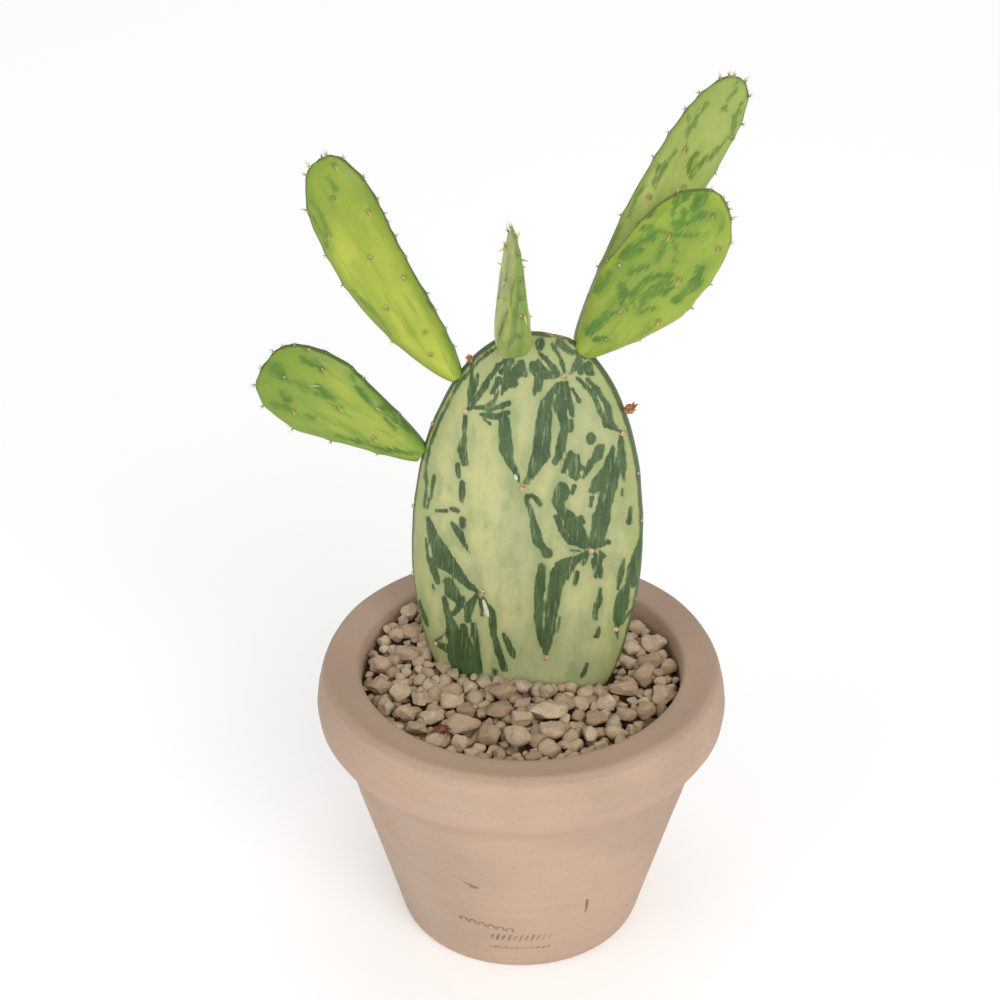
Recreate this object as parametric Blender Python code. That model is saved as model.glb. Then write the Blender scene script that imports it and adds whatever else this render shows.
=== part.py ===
"""A paddle cactus in a clay pot: one old pad with five young pads on it, gravel on top."""

import math
import random

import bmesh
import bpy
from mathutils import Matrix, Vector

# The pot: outer radius and height at each turn of its wall. Everything is in metres.
POT_X = 0.008  # the pot stands a little right of the middle of the whole plant
POT_HEIGHT = 0.1087
FOOT_RADIUS = 0.0452
BODY_TOP_RADIUS = 0.0675
COLLAR_BOTTOM = 0.0826
COLLAR_RADIUS = 0.0750
COLLAR_WIDEST = 0.0931
RIDGE_RADIUS = 0.0702
MOUTH_RADIUS = 0.0593
FLOOR_THICKNESS = 0.0095
DRAIN_RADIUS = 0.008
POT_STEPS = 64

# What fills it.
GAP = 0.0003
MIX_TOP = 0.0915
GRAVEL_BOTTOM = 0.0918
GRAVEL_TOP = 0.0982
MOUND_HEIGHT = 0.0045
MOUND_AT = (-0.036, 0.036)
MOUND_REACH = 0.030

# The old pad, given from its buried foot to its top, then how its outline swells:
# the widest point along it, and four powers for the curve below and above that point.
MOTHER = {
    "foot": (0.0, 0.007, 0.057),
    "tip": (0.0064, 0.007, 0.2400),
    "face": (-0.16, -1.0, 0.0),
    "width": 0.0832,
    "thick": 0.0200,
    "widest": 0.55,
    "lower": (2.55, 0.92),
    "upper": (1.93, 0.46),
    "neck": 0.07,
    "bend": -0.0019,
    "taper": (0.35, 1.0),
    "grid": (36, 24),
}

YOUNG = {
    "pad_lower_left": {
        "foot": (-0.0350, 0.0130, 0.1886),
        "tip": (-0.0894, 0.0140, 0.2236),
        "face": (-0.2, -1.0, 0.2),
        "width": 0.0316,
        "thick": 0.0110,
        "widest": 0.63,
        "lower": (1.0, 0.81),
        "upper": (2.65, 0.35),
        "neck": 0.18,
        "bend": 0.0007,
    },
    "pad_upper_left": {
        "foot": (-0.0222, 0.0110, 0.2199),
        "tip": (-0.0675, 0.0160, 0.3000),
        "face": (0.0, -1.0, 0.2),
        "width": 0.0243,
        "thick": 0.0105,
        "widest": 0.78,
        "lower": (2.48, 0.73),
        "upper": (1.40, 0.38),
        "neck": 0.17,
        "bend": -0.0043,
    },
    "pad_middle": {
        "foot": (-0.0032, 0.0038, 0.2345),
        "tip": (-0.0036, -0.0020, 0.2826),
        "face": (-0.97, -0.25, 0.0),
        "width": 0.0250,
        "thick": 0.0146,
        "widest": 0.45,
        "lower": (1.6, 0.6),
        "upper": (2.0, 0.6),
        "neck": 0.36,
        "bend": 0.0,
        "taper": (0.8, 1.2),
    },
    "pad_front_right": {
        "foot": (0.0206, 0.0046, 0.2336),
        "tip": (0.0624, -0.0100, 0.2992),
        "face": (0.12, -1.0, 0.3),
        "width": 0.0327,
        "thick": 0.0115,
        "widest": 0.42,
        "lower": (1.13, 0.85),
        "upper": (4.0, 0.66),
        "neck": 0.17,
        "bend": 0.0014,
    },
    "pad_rear_right": {
        "foot": (0.0190, 0.0135, 0.2290),
        "tip": (0.0707, 0.0200, 0.3267),
        "face": (-0.1, -1.0, 0.15),
        "width": 0.0204,
        "thick": 0.0105,
        "widest": 0.56,
        "lower": (1.11, 0.42),
        "upper": (4.0, 0.50),
        "neck": 0.22,
        "bend": -0.0015,
    },
}

# Loose stones on the gravel, in millimetres from the pot's middle:
# where, how long, how deep, how high, and how many degrees each is turned.
STONES = (
    (9, -23.5, 14, 9, 7, -8),
    (-21, -32, 11, 9, 7.5, -15),
    (-2, -40, 10, 9, 7.5, 10),
    (11, -34, 9.5, 8.5, 6.5, 0),
    (-8, -21.5, 9.5, 8, 6.5, -20),
    (-7, -12, 10, 6.5, 6, 10),
    (1, -8, 7, 6, 6, 20),
    (10, -10.5, 6, 5.5, 5.5, 0),
    (-26, -16.5, 9.5, 6.5, 5.5, -12),
    (-12, -37, 8, 8, 6.5, -30),
    (0, -27.5, 8, 7, 6, 0),
    (-37, -32.5, 8.5, 6.5, 5.5, -15),
    (-32, -25.5, 9.5, 5.5, 5, -8),
    (-41, -24.5, 8, 7, 6, 25),
    (-37, -15.5, 6.5, 8, 6, 10),
    (-49, -20, 7.5, 7.5, 6.5, 40),
    (-30, -41, 8.5, 6, 5.5, -20),
    (16, -17.5, 7, 6.5, 5.5, 30),
    (31, -18, 7.5, 6.5, 6, 0),
    (37, -9.5, 11, 7.5, 6.5, 5),
    (45, -2, 9.5, 9, 8, 50),
    (38, -24.5, 7.5, 7, 6, 0),
    (45, -23, 7.5, 8, 6.5, -20),
    (51, -13.5, 9.5, 8, 6.5, 40),
    (48.5, 8.5, 10.5, 6, 5.5, -15),
    (44, 31, 8, 6, 5.5, 25),
    (49.5, 19, 9, 9, 7, 10),
    (-42, 34, 6.5, 7, 6.5, 0),
    (-41, 22.5, 7.5, 8, 6, 30),
    (-42, 11, 9, 8, 6, -15),
    (-52, 4, 8, 8.5, 7, 0),
    (-52, -7.5, 8.5, 7.5, 6, 10),
    (-44, -12, 8, 7, 6, -20),
    (27, -27, 8.5, 5.5, 5, -10),
    (24, -36.5, 6, 7, 6, 0),
    (-21.5, -41.5, 6.5, 6, 5.5, 10),
)

# Soft pointed leaves on the middle pad: how far up it, which way round it in degrees
# (0 is its right-hand margin as its face is looked at), and how much each one rises.
LEAVES = (
    (0.97, 60, 1.3),
    (0.97, 235, 1.3),
    (0.90, 100, 0.1),
    (0.80, 75, 0.0),
    (0.72, 105, -0.2),
    (0.69, 262, 0.0),
    (0.47, 275, 0.05),
    (0.46, 5, -0.5),
)
LEAF_LENGTH = 0.0038
LEAF_RADIUS = 0.0007

for old in list(bpy.data.objects):
    bpy.data.objects.remove(old)

scene = bpy.context.scene
plant = bpy.data.collections.new("potted_paddle_cactus")
tools = bpy.data.collections.new("cutters")
scene.collection.children.link(plant)
scene.collection.children.link(tools)


def material(name, colour, roughness):
    mat = bpy.data.materials.new(name)
    mat.use_nodes = True
    shader = mat.node_tree.nodes["Principled BSDF"]
    shader.inputs["Base Color"].default_value = (*colour, 1.0)
    shader.inputs["Roughness"].default_value = roughness
    return mat


clay = material("pot_clay", (0.52, 0.40, 0.31), 0.85)
mix = material("mix_dark", (0.09, 0.06, 0.04), 0.95)
gravel = material("gravel_tan", (0.40, 0.30, 0.21), 0.9)
sage = material("old_pad_green", (0.42, 0.50, 0.25), 0.55)
green = material("young_pad_green", (0.36, 0.48, 0.10), 0.5)
yellow = material("leaf_yellow", (0.62, 0.62, 0.22), 0.5)
brown = material("bud_brown", (0.40, 0.17, 0.08), 0.8)
pumice = material("pumice_tan", (0.48, 0.37, 0.27), 0.9)


def finished(name, bm, mat, collection=plant):
    bmesh.ops.recalc_face_normals(bm, faces=bm.faces)
    mesh = bpy.data.meshes.new(name)
    bm.to_mesh(mesh)
    bm.free()
    for face in mesh.polygons:
        face.use_smooth = True
    mesh.materials.append(mat)
    obj = bpy.data.objects.new(name, mesh)
    collection.objects.link(obj)
    if collection is tools:
        obj.hide_render = True
        obj.display_type = "WIRE"
    return obj


def cut(obj, cutter):
    boolean = obj.modifiers.new("fit_to_" + cutter.name, "BOOLEAN")
    boolean.operation = "DIFFERENCE"
    boolean.solver = "EXACT"
    boolean.object = cutter


def lathe(name, profile, mat):
    """A closed profile (radius, height) turned about the pot's axis."""
    bm = bmesh.new()
    points = [bm.verts.new((radius, 0.0, height)) for radius, height in profile]
    on_axis = profile[0][0] == 0.0 and profile[-1][0] == 0.0
    ring = list(zip(points, points[1:]))
    if not on_axis:
        ring.append((points[-1], points[0]))
    edges = [bm.edges.new(pair) for pair in ring]
    bmesh.ops.spin(
        bm,
        geom=points + edges,
        cent=(0.0, 0.0, 0.0),
        axis=(0.0, 0.0, 1.0),
        angle=2.0 * math.pi,
        steps=POT_STEPS,
        use_merge=True,
    )
    bmesh.ops.remove_doubles(bm, verts=bm.verts, dist=0.00001)
    obj = finished(name, bm, mat)
    obj.location = (POT_X, 0.0, 0.0)
    return obj


# ---- the pot and what fills it

inner_wall = (
    (MOUTH_RADIUS, 0.1068),
    (0.0588, 0.1040),
    (0.0585, 0.0900),
    (0.0560, 0.0760),
)
inner_foot = (0.0375, FLOOR_THICKNESS + 0.003)

pot = lathe(
    "pot",
    (
        (0.0608, POT_HEIGHT - 0.0006),
        (0.0665, POT_HEIGHT - 0.0004),
        (RIDGE_RADIUS, POT_HEIGHT),
        (0.0717, POT_HEIGHT - 0.0010),
        (0.0732, 0.1040),
        (0.0744, 0.0985),
        (COLLAR_RADIUS, COLLAR_WIDEST),
        (0.0744, 0.0885),
        (0.0722, 0.0846),
        (0.0698, 0.0829),
        (0.0684, COLLAR_BOTTOM),
        (BODY_TOP_RADIUS, 0.0815),
        (0.0653, 0.0740),
        (0.0620, 0.0610),
        (0.0560, 0.0400),
        (0.0500, 0.0180),
        (0.0462, 0.0040),
        (FOOT_RADIUS, 0.0012),
        (0.0436, 0.0),
        (DRAIN_RADIUS + 0.0010, 0.0),
        (DRAIN_RADIUS, 0.0010),
        (DRAIN_RADIUS, FLOOR_THICKNESS - 0.0010),
        (DRAIN_RADIUS + 0.0010, FLOOR_THICKNESS),
        (0.0340, FLOOR_THICKNESS),
        inner_foot,
        inner_wall[3],
        inner_wall[2],
        inner_wall[1],
        inner_wall[0],
    ),
    clay,
)


def inside_radius(height):
    """The pot's inner radius at a height, between the points of its wall."""
    wall = (inner_foot, inner_wall[3], inner_wall[2], inner_wall[1], inner_wall[0])
    for (r0, z0), (r1, z1) in zip(wall, wall[1:]):
        if height <= z1:
            return r0 + (r1 - r0) * (height - z0) / (z1 - z0)
    return MOUTH_RADIUS


potting_mix = lathe(
    "potting_mix",
    (
        (0.0, MIX_TOP),
        (inside_radius(MIX_TOP) - GAP, MIX_TOP),
        (0.0585 - GAP, 0.0900),
        (0.0560 - GAP, 0.0760),
        (0.0375 - GAP, inner_foot[1]),
        (0.0338, FLOOR_THICKNESS + GAP),
        (0.0, FLOOR_THICKNESS + GAP),
    ),
    mix,
)


def mound(x, y):
    """How much higher the gravel lies at a point, heaped behind the pad on the left."""
    away = math.hypot(x - MOUND_AT[0], y - MOUND_AT[1]) / MOUND_REACH
    return MOUND_HEIGHT * math.exp(-away * away)


bed_edge = inside_radius(GRAVEL_TOP) - GAP
gravel_bed = lathe(
    "gravel_bed",
    (
        (0.0, GRAVEL_TOP + 0.0006),
        (0.012, GRAVEL_TOP + 0.0006),
        (0.024, GRAVEL_TOP + 0.0005),
        (0.036, GRAVEL_TOP + 0.0004),
        (0.047, GRAVEL_TOP + 0.0002),
        (bed_edge, GRAVEL_TOP - 0.0003),
        (inside_radius(GRAVEL_BOTTOM) - GAP, GRAVEL_BOTTOM),
        (0.0, GRAVEL_BOTTOM),
    ),
    gravel,
)
for vert in gravel_bed.data.vertices:
    if vert.co.z > GRAVEL_BOTTOM + 0.003:
        vert.co.z += mound(vert.co.x, vert.co.y)


# ---- the pads


def swell(spec, t):
    """Half width of a pad at t, 0 at its foot and 1 at its tip."""
    peak = spec["widest"]
    if t < peak:
        a, b = spec["lower"]
        curve = (1.0 - (1.0 - t / peak) ** a) ** b
        share = spec["neck"] + (1.0 - spec["neck"]) * curve
    else:
        a, b = spec["upper"]
        share = max(0.0, 1.0 - ((t - peak) / (1.0 - peak)) ** a) ** b
    return 0.5 * spec["width"] * share


def depth(spec, t):
    """Half thickness of a pad at t."""
    amount, power = spec.get("taper", (0.35, 1.0))
    foot = 0.55 + 0.45 * math.sqrt(1.0 - (1.0 - min(t / 0.22, 1.0)) ** 2)
    end = math.sqrt(max(0.0, 1.0 - max(0.0, (t - 0.72) / 0.28) ** 2.4))
    return 0.5 * spec["thick"] * foot * end * (1.0 - amount * t**power)


def rounded(value, power=0.82):
    return math.copysign(abs(value) ** power, value)


def pad_frame(spec):
    """Where a pad stands: its width along X, its face towards -Y and its length along Z."""
    foot = Vector(spec["foot"])
    along = Vector(spec["tip"]) - foot
    up = along.normalized()
    face = Vector(spec["face"])
    face = (face - up * face.dot(up)).normalized()
    side = up.cross(face)
    turn = Matrix((side, -face, up)).transposed().to_4x4()
    return Matrix.Translation(foot + Vector((POT_X, 0.0, 0.0))) @ turn, along.length


def pad_point(spec, length, t, angle, grow=0.0):
    """A point on the skin of a pad, grow metres outside it."""
    ring = math.sin(math.acos(max(-1.0, min(1.0, 1.0 - 2.0 * t))))
    near_end = min(1.0, ring * 6.0)
    wide = (swell(spec, t) + grow) * near_end
    deep = (depth(spec, t) + grow) * near_end
    x = spec["bend"] * math.sin(math.pi * t) + wide * rounded(math.cos(angle))
    z = t * length - grow * math.cos(math.pi * t)
    return Vector((x, deep * rounded(math.sin(angle)), z))


def pad(name, spec, mat, grow=0.0, collection=plant):
    """A ball pulled out into a pad."""
    place, length = pad_frame(spec)
    around, along = spec.get("grid", (26, 18))
    bm = bmesh.new()
    bmesh.ops.create_uvsphere(bm, u_segments=around, v_segments=along, radius=1.0)
    for vert in bm.verts:
        t = 0.5 * (1.0 + vert.co.z)
        angle = math.atan2(vert.co.y, vert.co.x)
        if 1.0 - abs(vert.co.z) < 0.00001:
            vert.co = pad_point(spec, length, round(t), 0.0, grow)
        else:
            vert.co = pad_point(spec, length, t, angle, grow)
    obj = finished(name, bm, mat, collection)
    obj.matrix_world = place
    return obj


mother_pad = pad("mother_pad", MOTHER, sage)
mother_room = pad("mother_room", MOTHER, sage, GAP, tools)
cut(potting_mix, mother_room)
cut(gravel_bed, mother_room)

for name, spec in YOUNG.items():
    cut(pad(name, spec, green), mother_room)


# ---- soft leaves on the middle pad

middle = YOUNG["pad_middle"]
middle_place, middle_length = pad_frame(middle)
for number, (t, degrees, rise) in enumerate(LEAVES, start=1):
    angle = math.radians(degrees)
    root = pad_point(middle, middle_length, t, angle, GAP * 1.5)
    core = Vector((0.0, 0.0, root.z))
    out = (root - core).normalized() + Vector((0.0, 0.0, rise))
    out.normalize()
    leaf = bmesh.new()
    bmesh.ops.create_cone(
        leaf,
        cap_ends=True,
        segments=8,
        radius1=LEAF_RADIUS,
        radius2=LEAF_RADIUS * 0.25,
        depth=LEAF_LENGTH,
    )
    obj = finished(f"leaf_{number}", leaf, yellow)
    turn = out.to_track_quat("Z", "Y").to_matrix().to_4x4()
    seat = root + out * (0.5 * LEAF_LENGTH + LEAF_RADIUS * 0.8)
    obj.matrix_world = middle_place @ Matrix.Translation(seat) @ turn


# ---- withered flower buds: two still on the old pad's margin, one fallen

BUDS = (
    ("withered_bud_right", (0.0366, 0.0002, 0.2132), (0.72, -0.1, 0.68), 0.0017, 0.0042),
    ("withered_bud_left", (-0.0174, 0.0100, 0.2268), (-0.45, -0.1, 0.88), 0.0014, 0.0034),
    ("withered_bud_fallen", (-0.0290, -0.0350, 0.1020), (0.9, 0.3, 0.15), 0.0021, 0.0060),
)
for name, place, direction, radius, long in BUDS:
    bud = bmesh.new()
    bmesh.ops.create_cone(
        bud, cap_ends=True, segments=12, radius1=radius * 0.75, radius2=radius, depth=long
    )
    obj = finished(name, bud, brown)
    turn = Vector(direction).to_track_quat("Z", "Y").to_matrix().to_4x4()
    obj.matrix_world = Matrix.Translation(Vector(place) + Vector((POT_X, 0.0, 0.0))) @ turn
    if name != "withered_bud_fallen":
        cut(obj, mother_room)


# ---- loose stones

rng = random.Random(41)
for number, (x, y, long, deep, high, degrees) in enumerate(STONES, start=1):
    stone = bmesh.new()
    bmesh.ops.create_icosphere(stone, subdivisions=2, radius=0.5)
    turn = Matrix.Rotation(math.radians(degrees), 3, "Z")
    for vert in stone.verts:
        share = rng.uniform(0.84, 1.0)
        vert.co = turn @ Vector((vert.co.x * long, vert.co.y * deep, vert.co.z * high))
        vert.co *= share * 0.00097
    rest = max(
        GRAVEL_TOP + 0.0006 + mound(x * 0.001 + v.co.x, y * 0.001 + v.co.y) - v.co.z
        for v in stone.verts
    )
    obj = finished(f"pumice_stone_{number:02d}", stone, pumice)
    obj.location = (POT_X + x * 0.001, y * 0.001, rest + GAP)
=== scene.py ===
import math
import random

import bmesh
import bpy
import numpy as np
from mathutils import Matrix, Vector, noise


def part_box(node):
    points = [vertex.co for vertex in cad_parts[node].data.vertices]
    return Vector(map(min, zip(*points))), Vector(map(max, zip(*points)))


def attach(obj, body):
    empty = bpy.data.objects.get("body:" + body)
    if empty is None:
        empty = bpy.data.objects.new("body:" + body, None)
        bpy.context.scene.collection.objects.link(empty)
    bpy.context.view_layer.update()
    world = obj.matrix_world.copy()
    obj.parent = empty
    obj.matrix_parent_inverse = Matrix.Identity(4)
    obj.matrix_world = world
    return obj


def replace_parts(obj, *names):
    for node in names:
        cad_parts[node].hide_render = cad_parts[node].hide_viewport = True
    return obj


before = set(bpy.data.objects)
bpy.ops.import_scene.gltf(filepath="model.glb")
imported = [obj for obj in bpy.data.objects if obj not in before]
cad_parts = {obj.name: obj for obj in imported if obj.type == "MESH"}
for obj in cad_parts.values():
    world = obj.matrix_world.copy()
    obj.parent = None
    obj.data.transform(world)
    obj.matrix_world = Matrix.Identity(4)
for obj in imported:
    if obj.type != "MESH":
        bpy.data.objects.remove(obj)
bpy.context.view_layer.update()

mm = 0.001
potX = 8.0  # the pot's axis in millimetres, a little right of the middle of the whole plant
fullTurn = 2 * math.pi
rng = random.Random(7)
print("frame loaded:", len(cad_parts), "nodes")


# small helpers for node trees

def linear(red, green, blue):
    # a linear colour from its everyday 0 to 255 values
    def one(value):
        value /= 255.0
        return value / 12.92 if value <= 0.04045 else ((value + 0.055) / 1.055) ** 2.4
    return (one(red), one(green), one(blue), 1.0)


def addNode(near, kind, inputs, **settings):
    # a new node in the tree that a node or socket belongs to
    tree = near.id_data
    made = tree.nodes.new(kind)
    for name, value in settings.items():
        setattr(made, name, value)
    for key, value in inputs.items():
        if isinstance(value, bpy.types.NodeSocket):
            tree.links.new(value, made.inputs[key])
        else:
            made.inputs[key].default_value = value
    return made


def calc(operation, first, second=0, third=0):
    return addNode(first, "ShaderNodeMath", {0: first, 1: second, 2: third}, operation=operation).outputs[0]


def mix(share, first, second):
    # a blend of two colours, each a socket or everyday 0 to 255 values
    first, second = (linear(*tone) if isinstance(tone, tuple) else tone for tone in (first, second))
    return addNode(share, "ShaderNodeMix", {0: share, 6: first, 7: second}, data_type="RGBA").outputs[2]


def fade(value, low, high, atLow=0, atHigh=1):
    # a smooth step from atLow to atHigh as value goes from low to high
    settings = {0: value, 1: low, 2: high, 3: atLow, 4: atHigh}
    return addNode(value, "ShaderNodeMapRange", settings, interpolation_type="SMOOTHSTEP").outputs[0]


def noiseAt(place, scale, stretch=(1, 1, 1), detail=2, rough=0.5):
    turned = addNode(place, "ShaderNodeMapping", {"Vector": place, "Scale": stretch})
    settings = {"Vector": turned.outputs[0], "Scale": scale, "Detail": detail, "Roughness": rough}
    return addNode(place, "ShaderNodeTexNoise", settings).outputs[0]


def attribute(near, name, kind="Fac"):
    return addNode(near, "ShaderNodeAttribute", {}, attribute_name=name).outputs[kind]


def objectPlace(near):
    # object coordinates in millimetres
    place = addNode(near, "ShaderNodeTexCoord", {}).outputs["Object"]
    return addNode(near, "ShaderNodeMapping", {"Vector": place, "Scale": (1 / mm,) * 3}).outputs[0]


def newMaterial(name, roughness, specular):
    made = bpy.data.materials.new(name)
    made.use_nodes = True
    shader = made.node_tree.nodes["Principled BSDF"]
    shader.inputs["Roughness"].default_value = roughness
    shader.inputs["Specular IOR Level"].default_value = specular
    return made, shader


def coat(shader, colour, height=None, strength=1, distance=mm):
    # the colour, and a bump where there is a height
    links = shader.id_data.links
    links.new(colour, shader.inputs["Base Color"])
    if height:
        settings = {"Height": height, "Strength": strength, "Distance": distance}
        links.new(addNode(shader, "ShaderNodeBump", settings).outputs[0], shader.inputs["Normal"])


def grainyMaterial(name, roughness, tones, scales, detail, bumps, span=(0.3, 0.7), rough=0.5):
    # two tones by noise at the first scale and a bump by noise at the second
    made, shader = newMaterial(name, roughness, 0.2)
    place = objectPlace(shader)
    tone, height = (noiseAt(place, scale, detail=detail, rough=rough) for scale in scales)
    coat(shader, mix(fade(tone, *span), *tones), height, *bumps)
    return made


# small helpers for pieces

def makePiece(name, bm, material):
    mesh = bpy.data.meshes.new(name)
    bm.normal_update()
    bm.to_mesh(mesh)
    bm.free()
    mesh.polygons.foreach_set("use_smooth", [True] * len(mesh.polygons))
    mesh.materials.append(material)
    made = bpy.data.objects.new(name, mesh)
    bpy.context.scene.collection.objects.link(made)
    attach(made, "root")
    return made


def addBall(bm, around, along):
    return bmesh.ops.create_uvsphere(bm, u_segments=around, v_segments=along, radius=1)["verts"]


def addKnob(bm, size, place):
    return bmesh.ops.create_icosphere(bm, subdivisions=2, radius=size, matrix=place)["verts"]


def moveAll(bm, matrix):
    bmesh.ops.transform(bm, matrix=matrix, verts=bm.verts)


def facing(direction):
    return Vector(direction).to_track_quat("Z", "Y").to_matrix().to_4x4()


def anyWay(draw, amount):
    return Vector([draw.uniform(-amount, amount) for axis in range(3)])


def floatAttribute(mesh, name, values):
    mesh.attributes.new(name, "FLOAT", "POINT").data.foreach_set("value", values)


def pointsOf(mesh, kind="co"):
    places = np.empty(len(mesh.vertices) * 3)
    mesh.vertices.foreach_get(kind, places)
    return places.reshape(-1, 3)


def setPoints(mesh, places):
    mesh.vertices.foreach_set("co", places.ravel())
    mesh.update()


def strokeDistance(x, z, strokes):
    # how far each point is from the nearest stroke's edge, less than 0 inside it
    nearest = np.full(len(x), 9.0)
    for stroke in strokes:
        for (x0, z0, w0), (x1, z1, w1) in zip(stroke, stroke[1:]):
            dx, dz = x1 - x0, z1 - z0
            share = np.clip(((x - x0) * dx + (z - z0) * dz) / (dx * dx + dz * dz + 1e-9), 0, 1)
            away = np.hypot(x - x0 - share * dx, z - z0 - share * dz) - w0 - (w1 - w0) * share
            nearest = np.minimum(nearest, away)
    return nearest


def smoothStep(value, low, high):
    share = np.clip((value - low) / (high - low), 0, 1)
    return share * share * (3 - 2 * share)


def bell(distance, reach):
    return np.exp(-((distance / reach) ** 2))


def cellNoise(points, scale, seed=0):
    return np.array([noise.noise(Vector(p) * scale + Vector((seed, 0, 0))) for p in points])


# the pads' shapes: foot and tip from the pot's foot centre, then how the outline swells

padShapes = {
    "mother_pad": {
        "foot": (0, 7, 57), "tip": (6.4, 7, 239.6), "face": (-0.16, -1, 0),
        "width": 83.2, "thick": 20, "widest": 0.55, "lower": (2.55, 0.92), "upper": (1.93, 0.46),
        "neck": 0.07, "bend": -1.9, "taper": (0.35, 1), "grid": (236, 330), "crowd": 0.72,
    },
    "pad_lower_left": {
        "foot": (-35.2, 13, 188.2), "tip": (-89.6, 14, 223.4), "face": (-0.2, -1, 0.2),
        "width": 31.6, "thick": 11, "widest": 0.63, "lower": (1, 0.81), "upper": (2.65, 0.35),
        "neck": 0.2, "bend": 0.2,
    },
    "pad_upper_left": {
        "foot": (-22.7, 11, 219.7), "tip": (-67.7, 16, 299.6), "face": (0, -1, 0.2),
        "width": 24.3, "thick": 10.5, "widest": 0.78, "lower": (2.48, 0.73), "upper": (1.40, 0.38),
        "neck": 0.17, "bend": -4.3,
    },
    "pad_middle": {
        "foot": (-3.3, 3.8, 234.5), "tip": (-3.2, -2, 281.8), "face": (-0.97, -0.25, 0),
        "width": 25, "thick": 16, "widest": 0.45, "lower": (1.6, 0.6), "upper": (2, 0.6),
        "neck": 0.36, "bend": 0, "taper": (0.88, 0.68),
    },
    "pad_front_right": {
        "foot": (20.6, 4.6, 233.5), "tip": (62.4, -10, 299.2), "face": (0.12, -1, 0.3),
        "width": 32.7, "thick": 11.5, "widest": 0.42, "lower": (1.13, 0.85), "upper": (4, 0.66),
        "neck": 0.19, "bend": 2.3,
    },
    "pad_rear_right": {
        "foot": (20.3, 13.5, 229.4), "tip": (70.7, 20, 326.7), "face": (-0.1, -1, 0.15),
        "width": 20.4, "thick": 10.5, "widest": 0.56, "lower": (1.11, 0.42), "upper": (4, 0.50),
        "neck": 0.22, "bend": -1.5,
    },
}


def halfWidth(shape, t):
    peak = shape["widest"]
    a, b = shape["lower"]
    below = shape["neck"] + (1 - shape["neck"]) * (1 - np.clip(1 - t / peak, 0, 1) ** a) ** b
    a, b = shape["upper"]
    above = np.clip(1 - np.clip((t - peak) / (1 - peak), 0, 1) ** a, 0, 1) ** b
    return 0.5 * shape["width"] * np.where(t < peak, below, above)


def halfDepth(shape, t):
    amount, power = shape.get("taper", (0.35, 1))
    foot = 0.55 + 0.45 * np.sqrt(1 - (1 - np.minimum(t / 0.22, 1)) ** 2)
    end = np.sqrt(np.clip(1 - np.clip((t - 0.72) / 0.28, 0, 1) ** 2.4, 0, 1))
    return 0.5 * shape["thick"] * foot * end * (1 - amount * t**power)


roundness = 0.82  # how boxy the pads are in section, 1 is an ellipse


def rounded(value):
    return np.copysign(np.abs(value) ** roundness, value)


def middleLine(shape, t):
    # how far the bent middle stands to the side
    return shape["bend"] * np.sin(math.pi * t)


def padLength(shape):
    return (Vector(shape["tip"]) - Vector(shape["foot"])).length


def padPlace(shape):
    # the pad's width lies along its X, its face looks to -Y and its length is along Z
    foot = Vector(shape["foot"])
    up = (Vector(shape["tip"]) - foot).normalized()
    face = Vector(shape["face"])
    face = (face - up * face.dot(up)).normalized()
    turn = Matrix((up.cross(face), -face, up)).transposed().to_4x4()
    return Matrix.Translation((foot + Vector((potX, 0, 0))) * mm) @ turn @ Matrix.Scale(mm, 4)


def skinPoints(shape, t, angle):
    # points on the skin in the pad's own millimetres
    ring = np.sqrt(np.clip(1 - (1 - 2 * t) ** 2, 0, 1))
    nearEnd = np.minimum(1, ring * 6)
    wide = halfWidth(shape, t) * nearEnd
    deep = halfDepth(shape, t) * nearEnd
    x = middleLine(shape, t) + wide * rounded(np.cos(angle))
    return np.stack((x, deep * rounded(np.sin(angle)), t * padLength(shape)), axis=-1)


def skinPoint(shape, t, angle):
    return Vector(skinPoints(shape, np.float64(t), np.float64(angle)))


def skinFrame(shape, t, angle):
    # a point of the skin and the outward direction there
    step = 0.01
    point = skinPoint(shape, t, angle)
    around = skinPoint(shape, t, angle + step) - skinPoint(shape, t, angle - step)
    out = around.cross(skinPoint(shape, t + step, angle) - skinPoint(shape, t - step, angle)).normalized()
    if out.dot(point - Vector((shape["bend"], 0, point.z - 0.1))) < 0:
        out.negate()
    return point, out


def skinAt(shape, x, z, side):
    # the same, on the front (-1) or back (1) skin nearest to x, z
    t = min(max(z / padLength(shape), 0.02), 0.985)
    wide = max(float(halfWidth(shape, np.float64(t))), 0.1)
    across = min(max((x - middleLine(shape, t)) / wide, -0.999), 0.999)
    return skinFrame(shape, t, side * math.acos(math.copysign(abs(across) ** (1 / roundness), across)))


def marginAt(shape, x, z):
    # the same, on the pad's edge nearest to x, z and a little to its front
    share = np.linspace(0.02, 0.9985, 300)
    toFront = 0.12
    found = []
    for angle, turned in ((0, -toFront), (-math.pi, toFront - math.pi)):
        edge = skinPoints(shape, share, np.full(len(share), angle))
        away = np.hypot(edge[:, 0] - x, edge[:, 2] - z)
        found.append((away.min(), share[away.argmin()], turned))
    return skinFrame(shape, *min(found)[1:])


# where the cushions sit on each pad, in millimetres across and up from its foot: on its face,
# and round its margin

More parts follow.
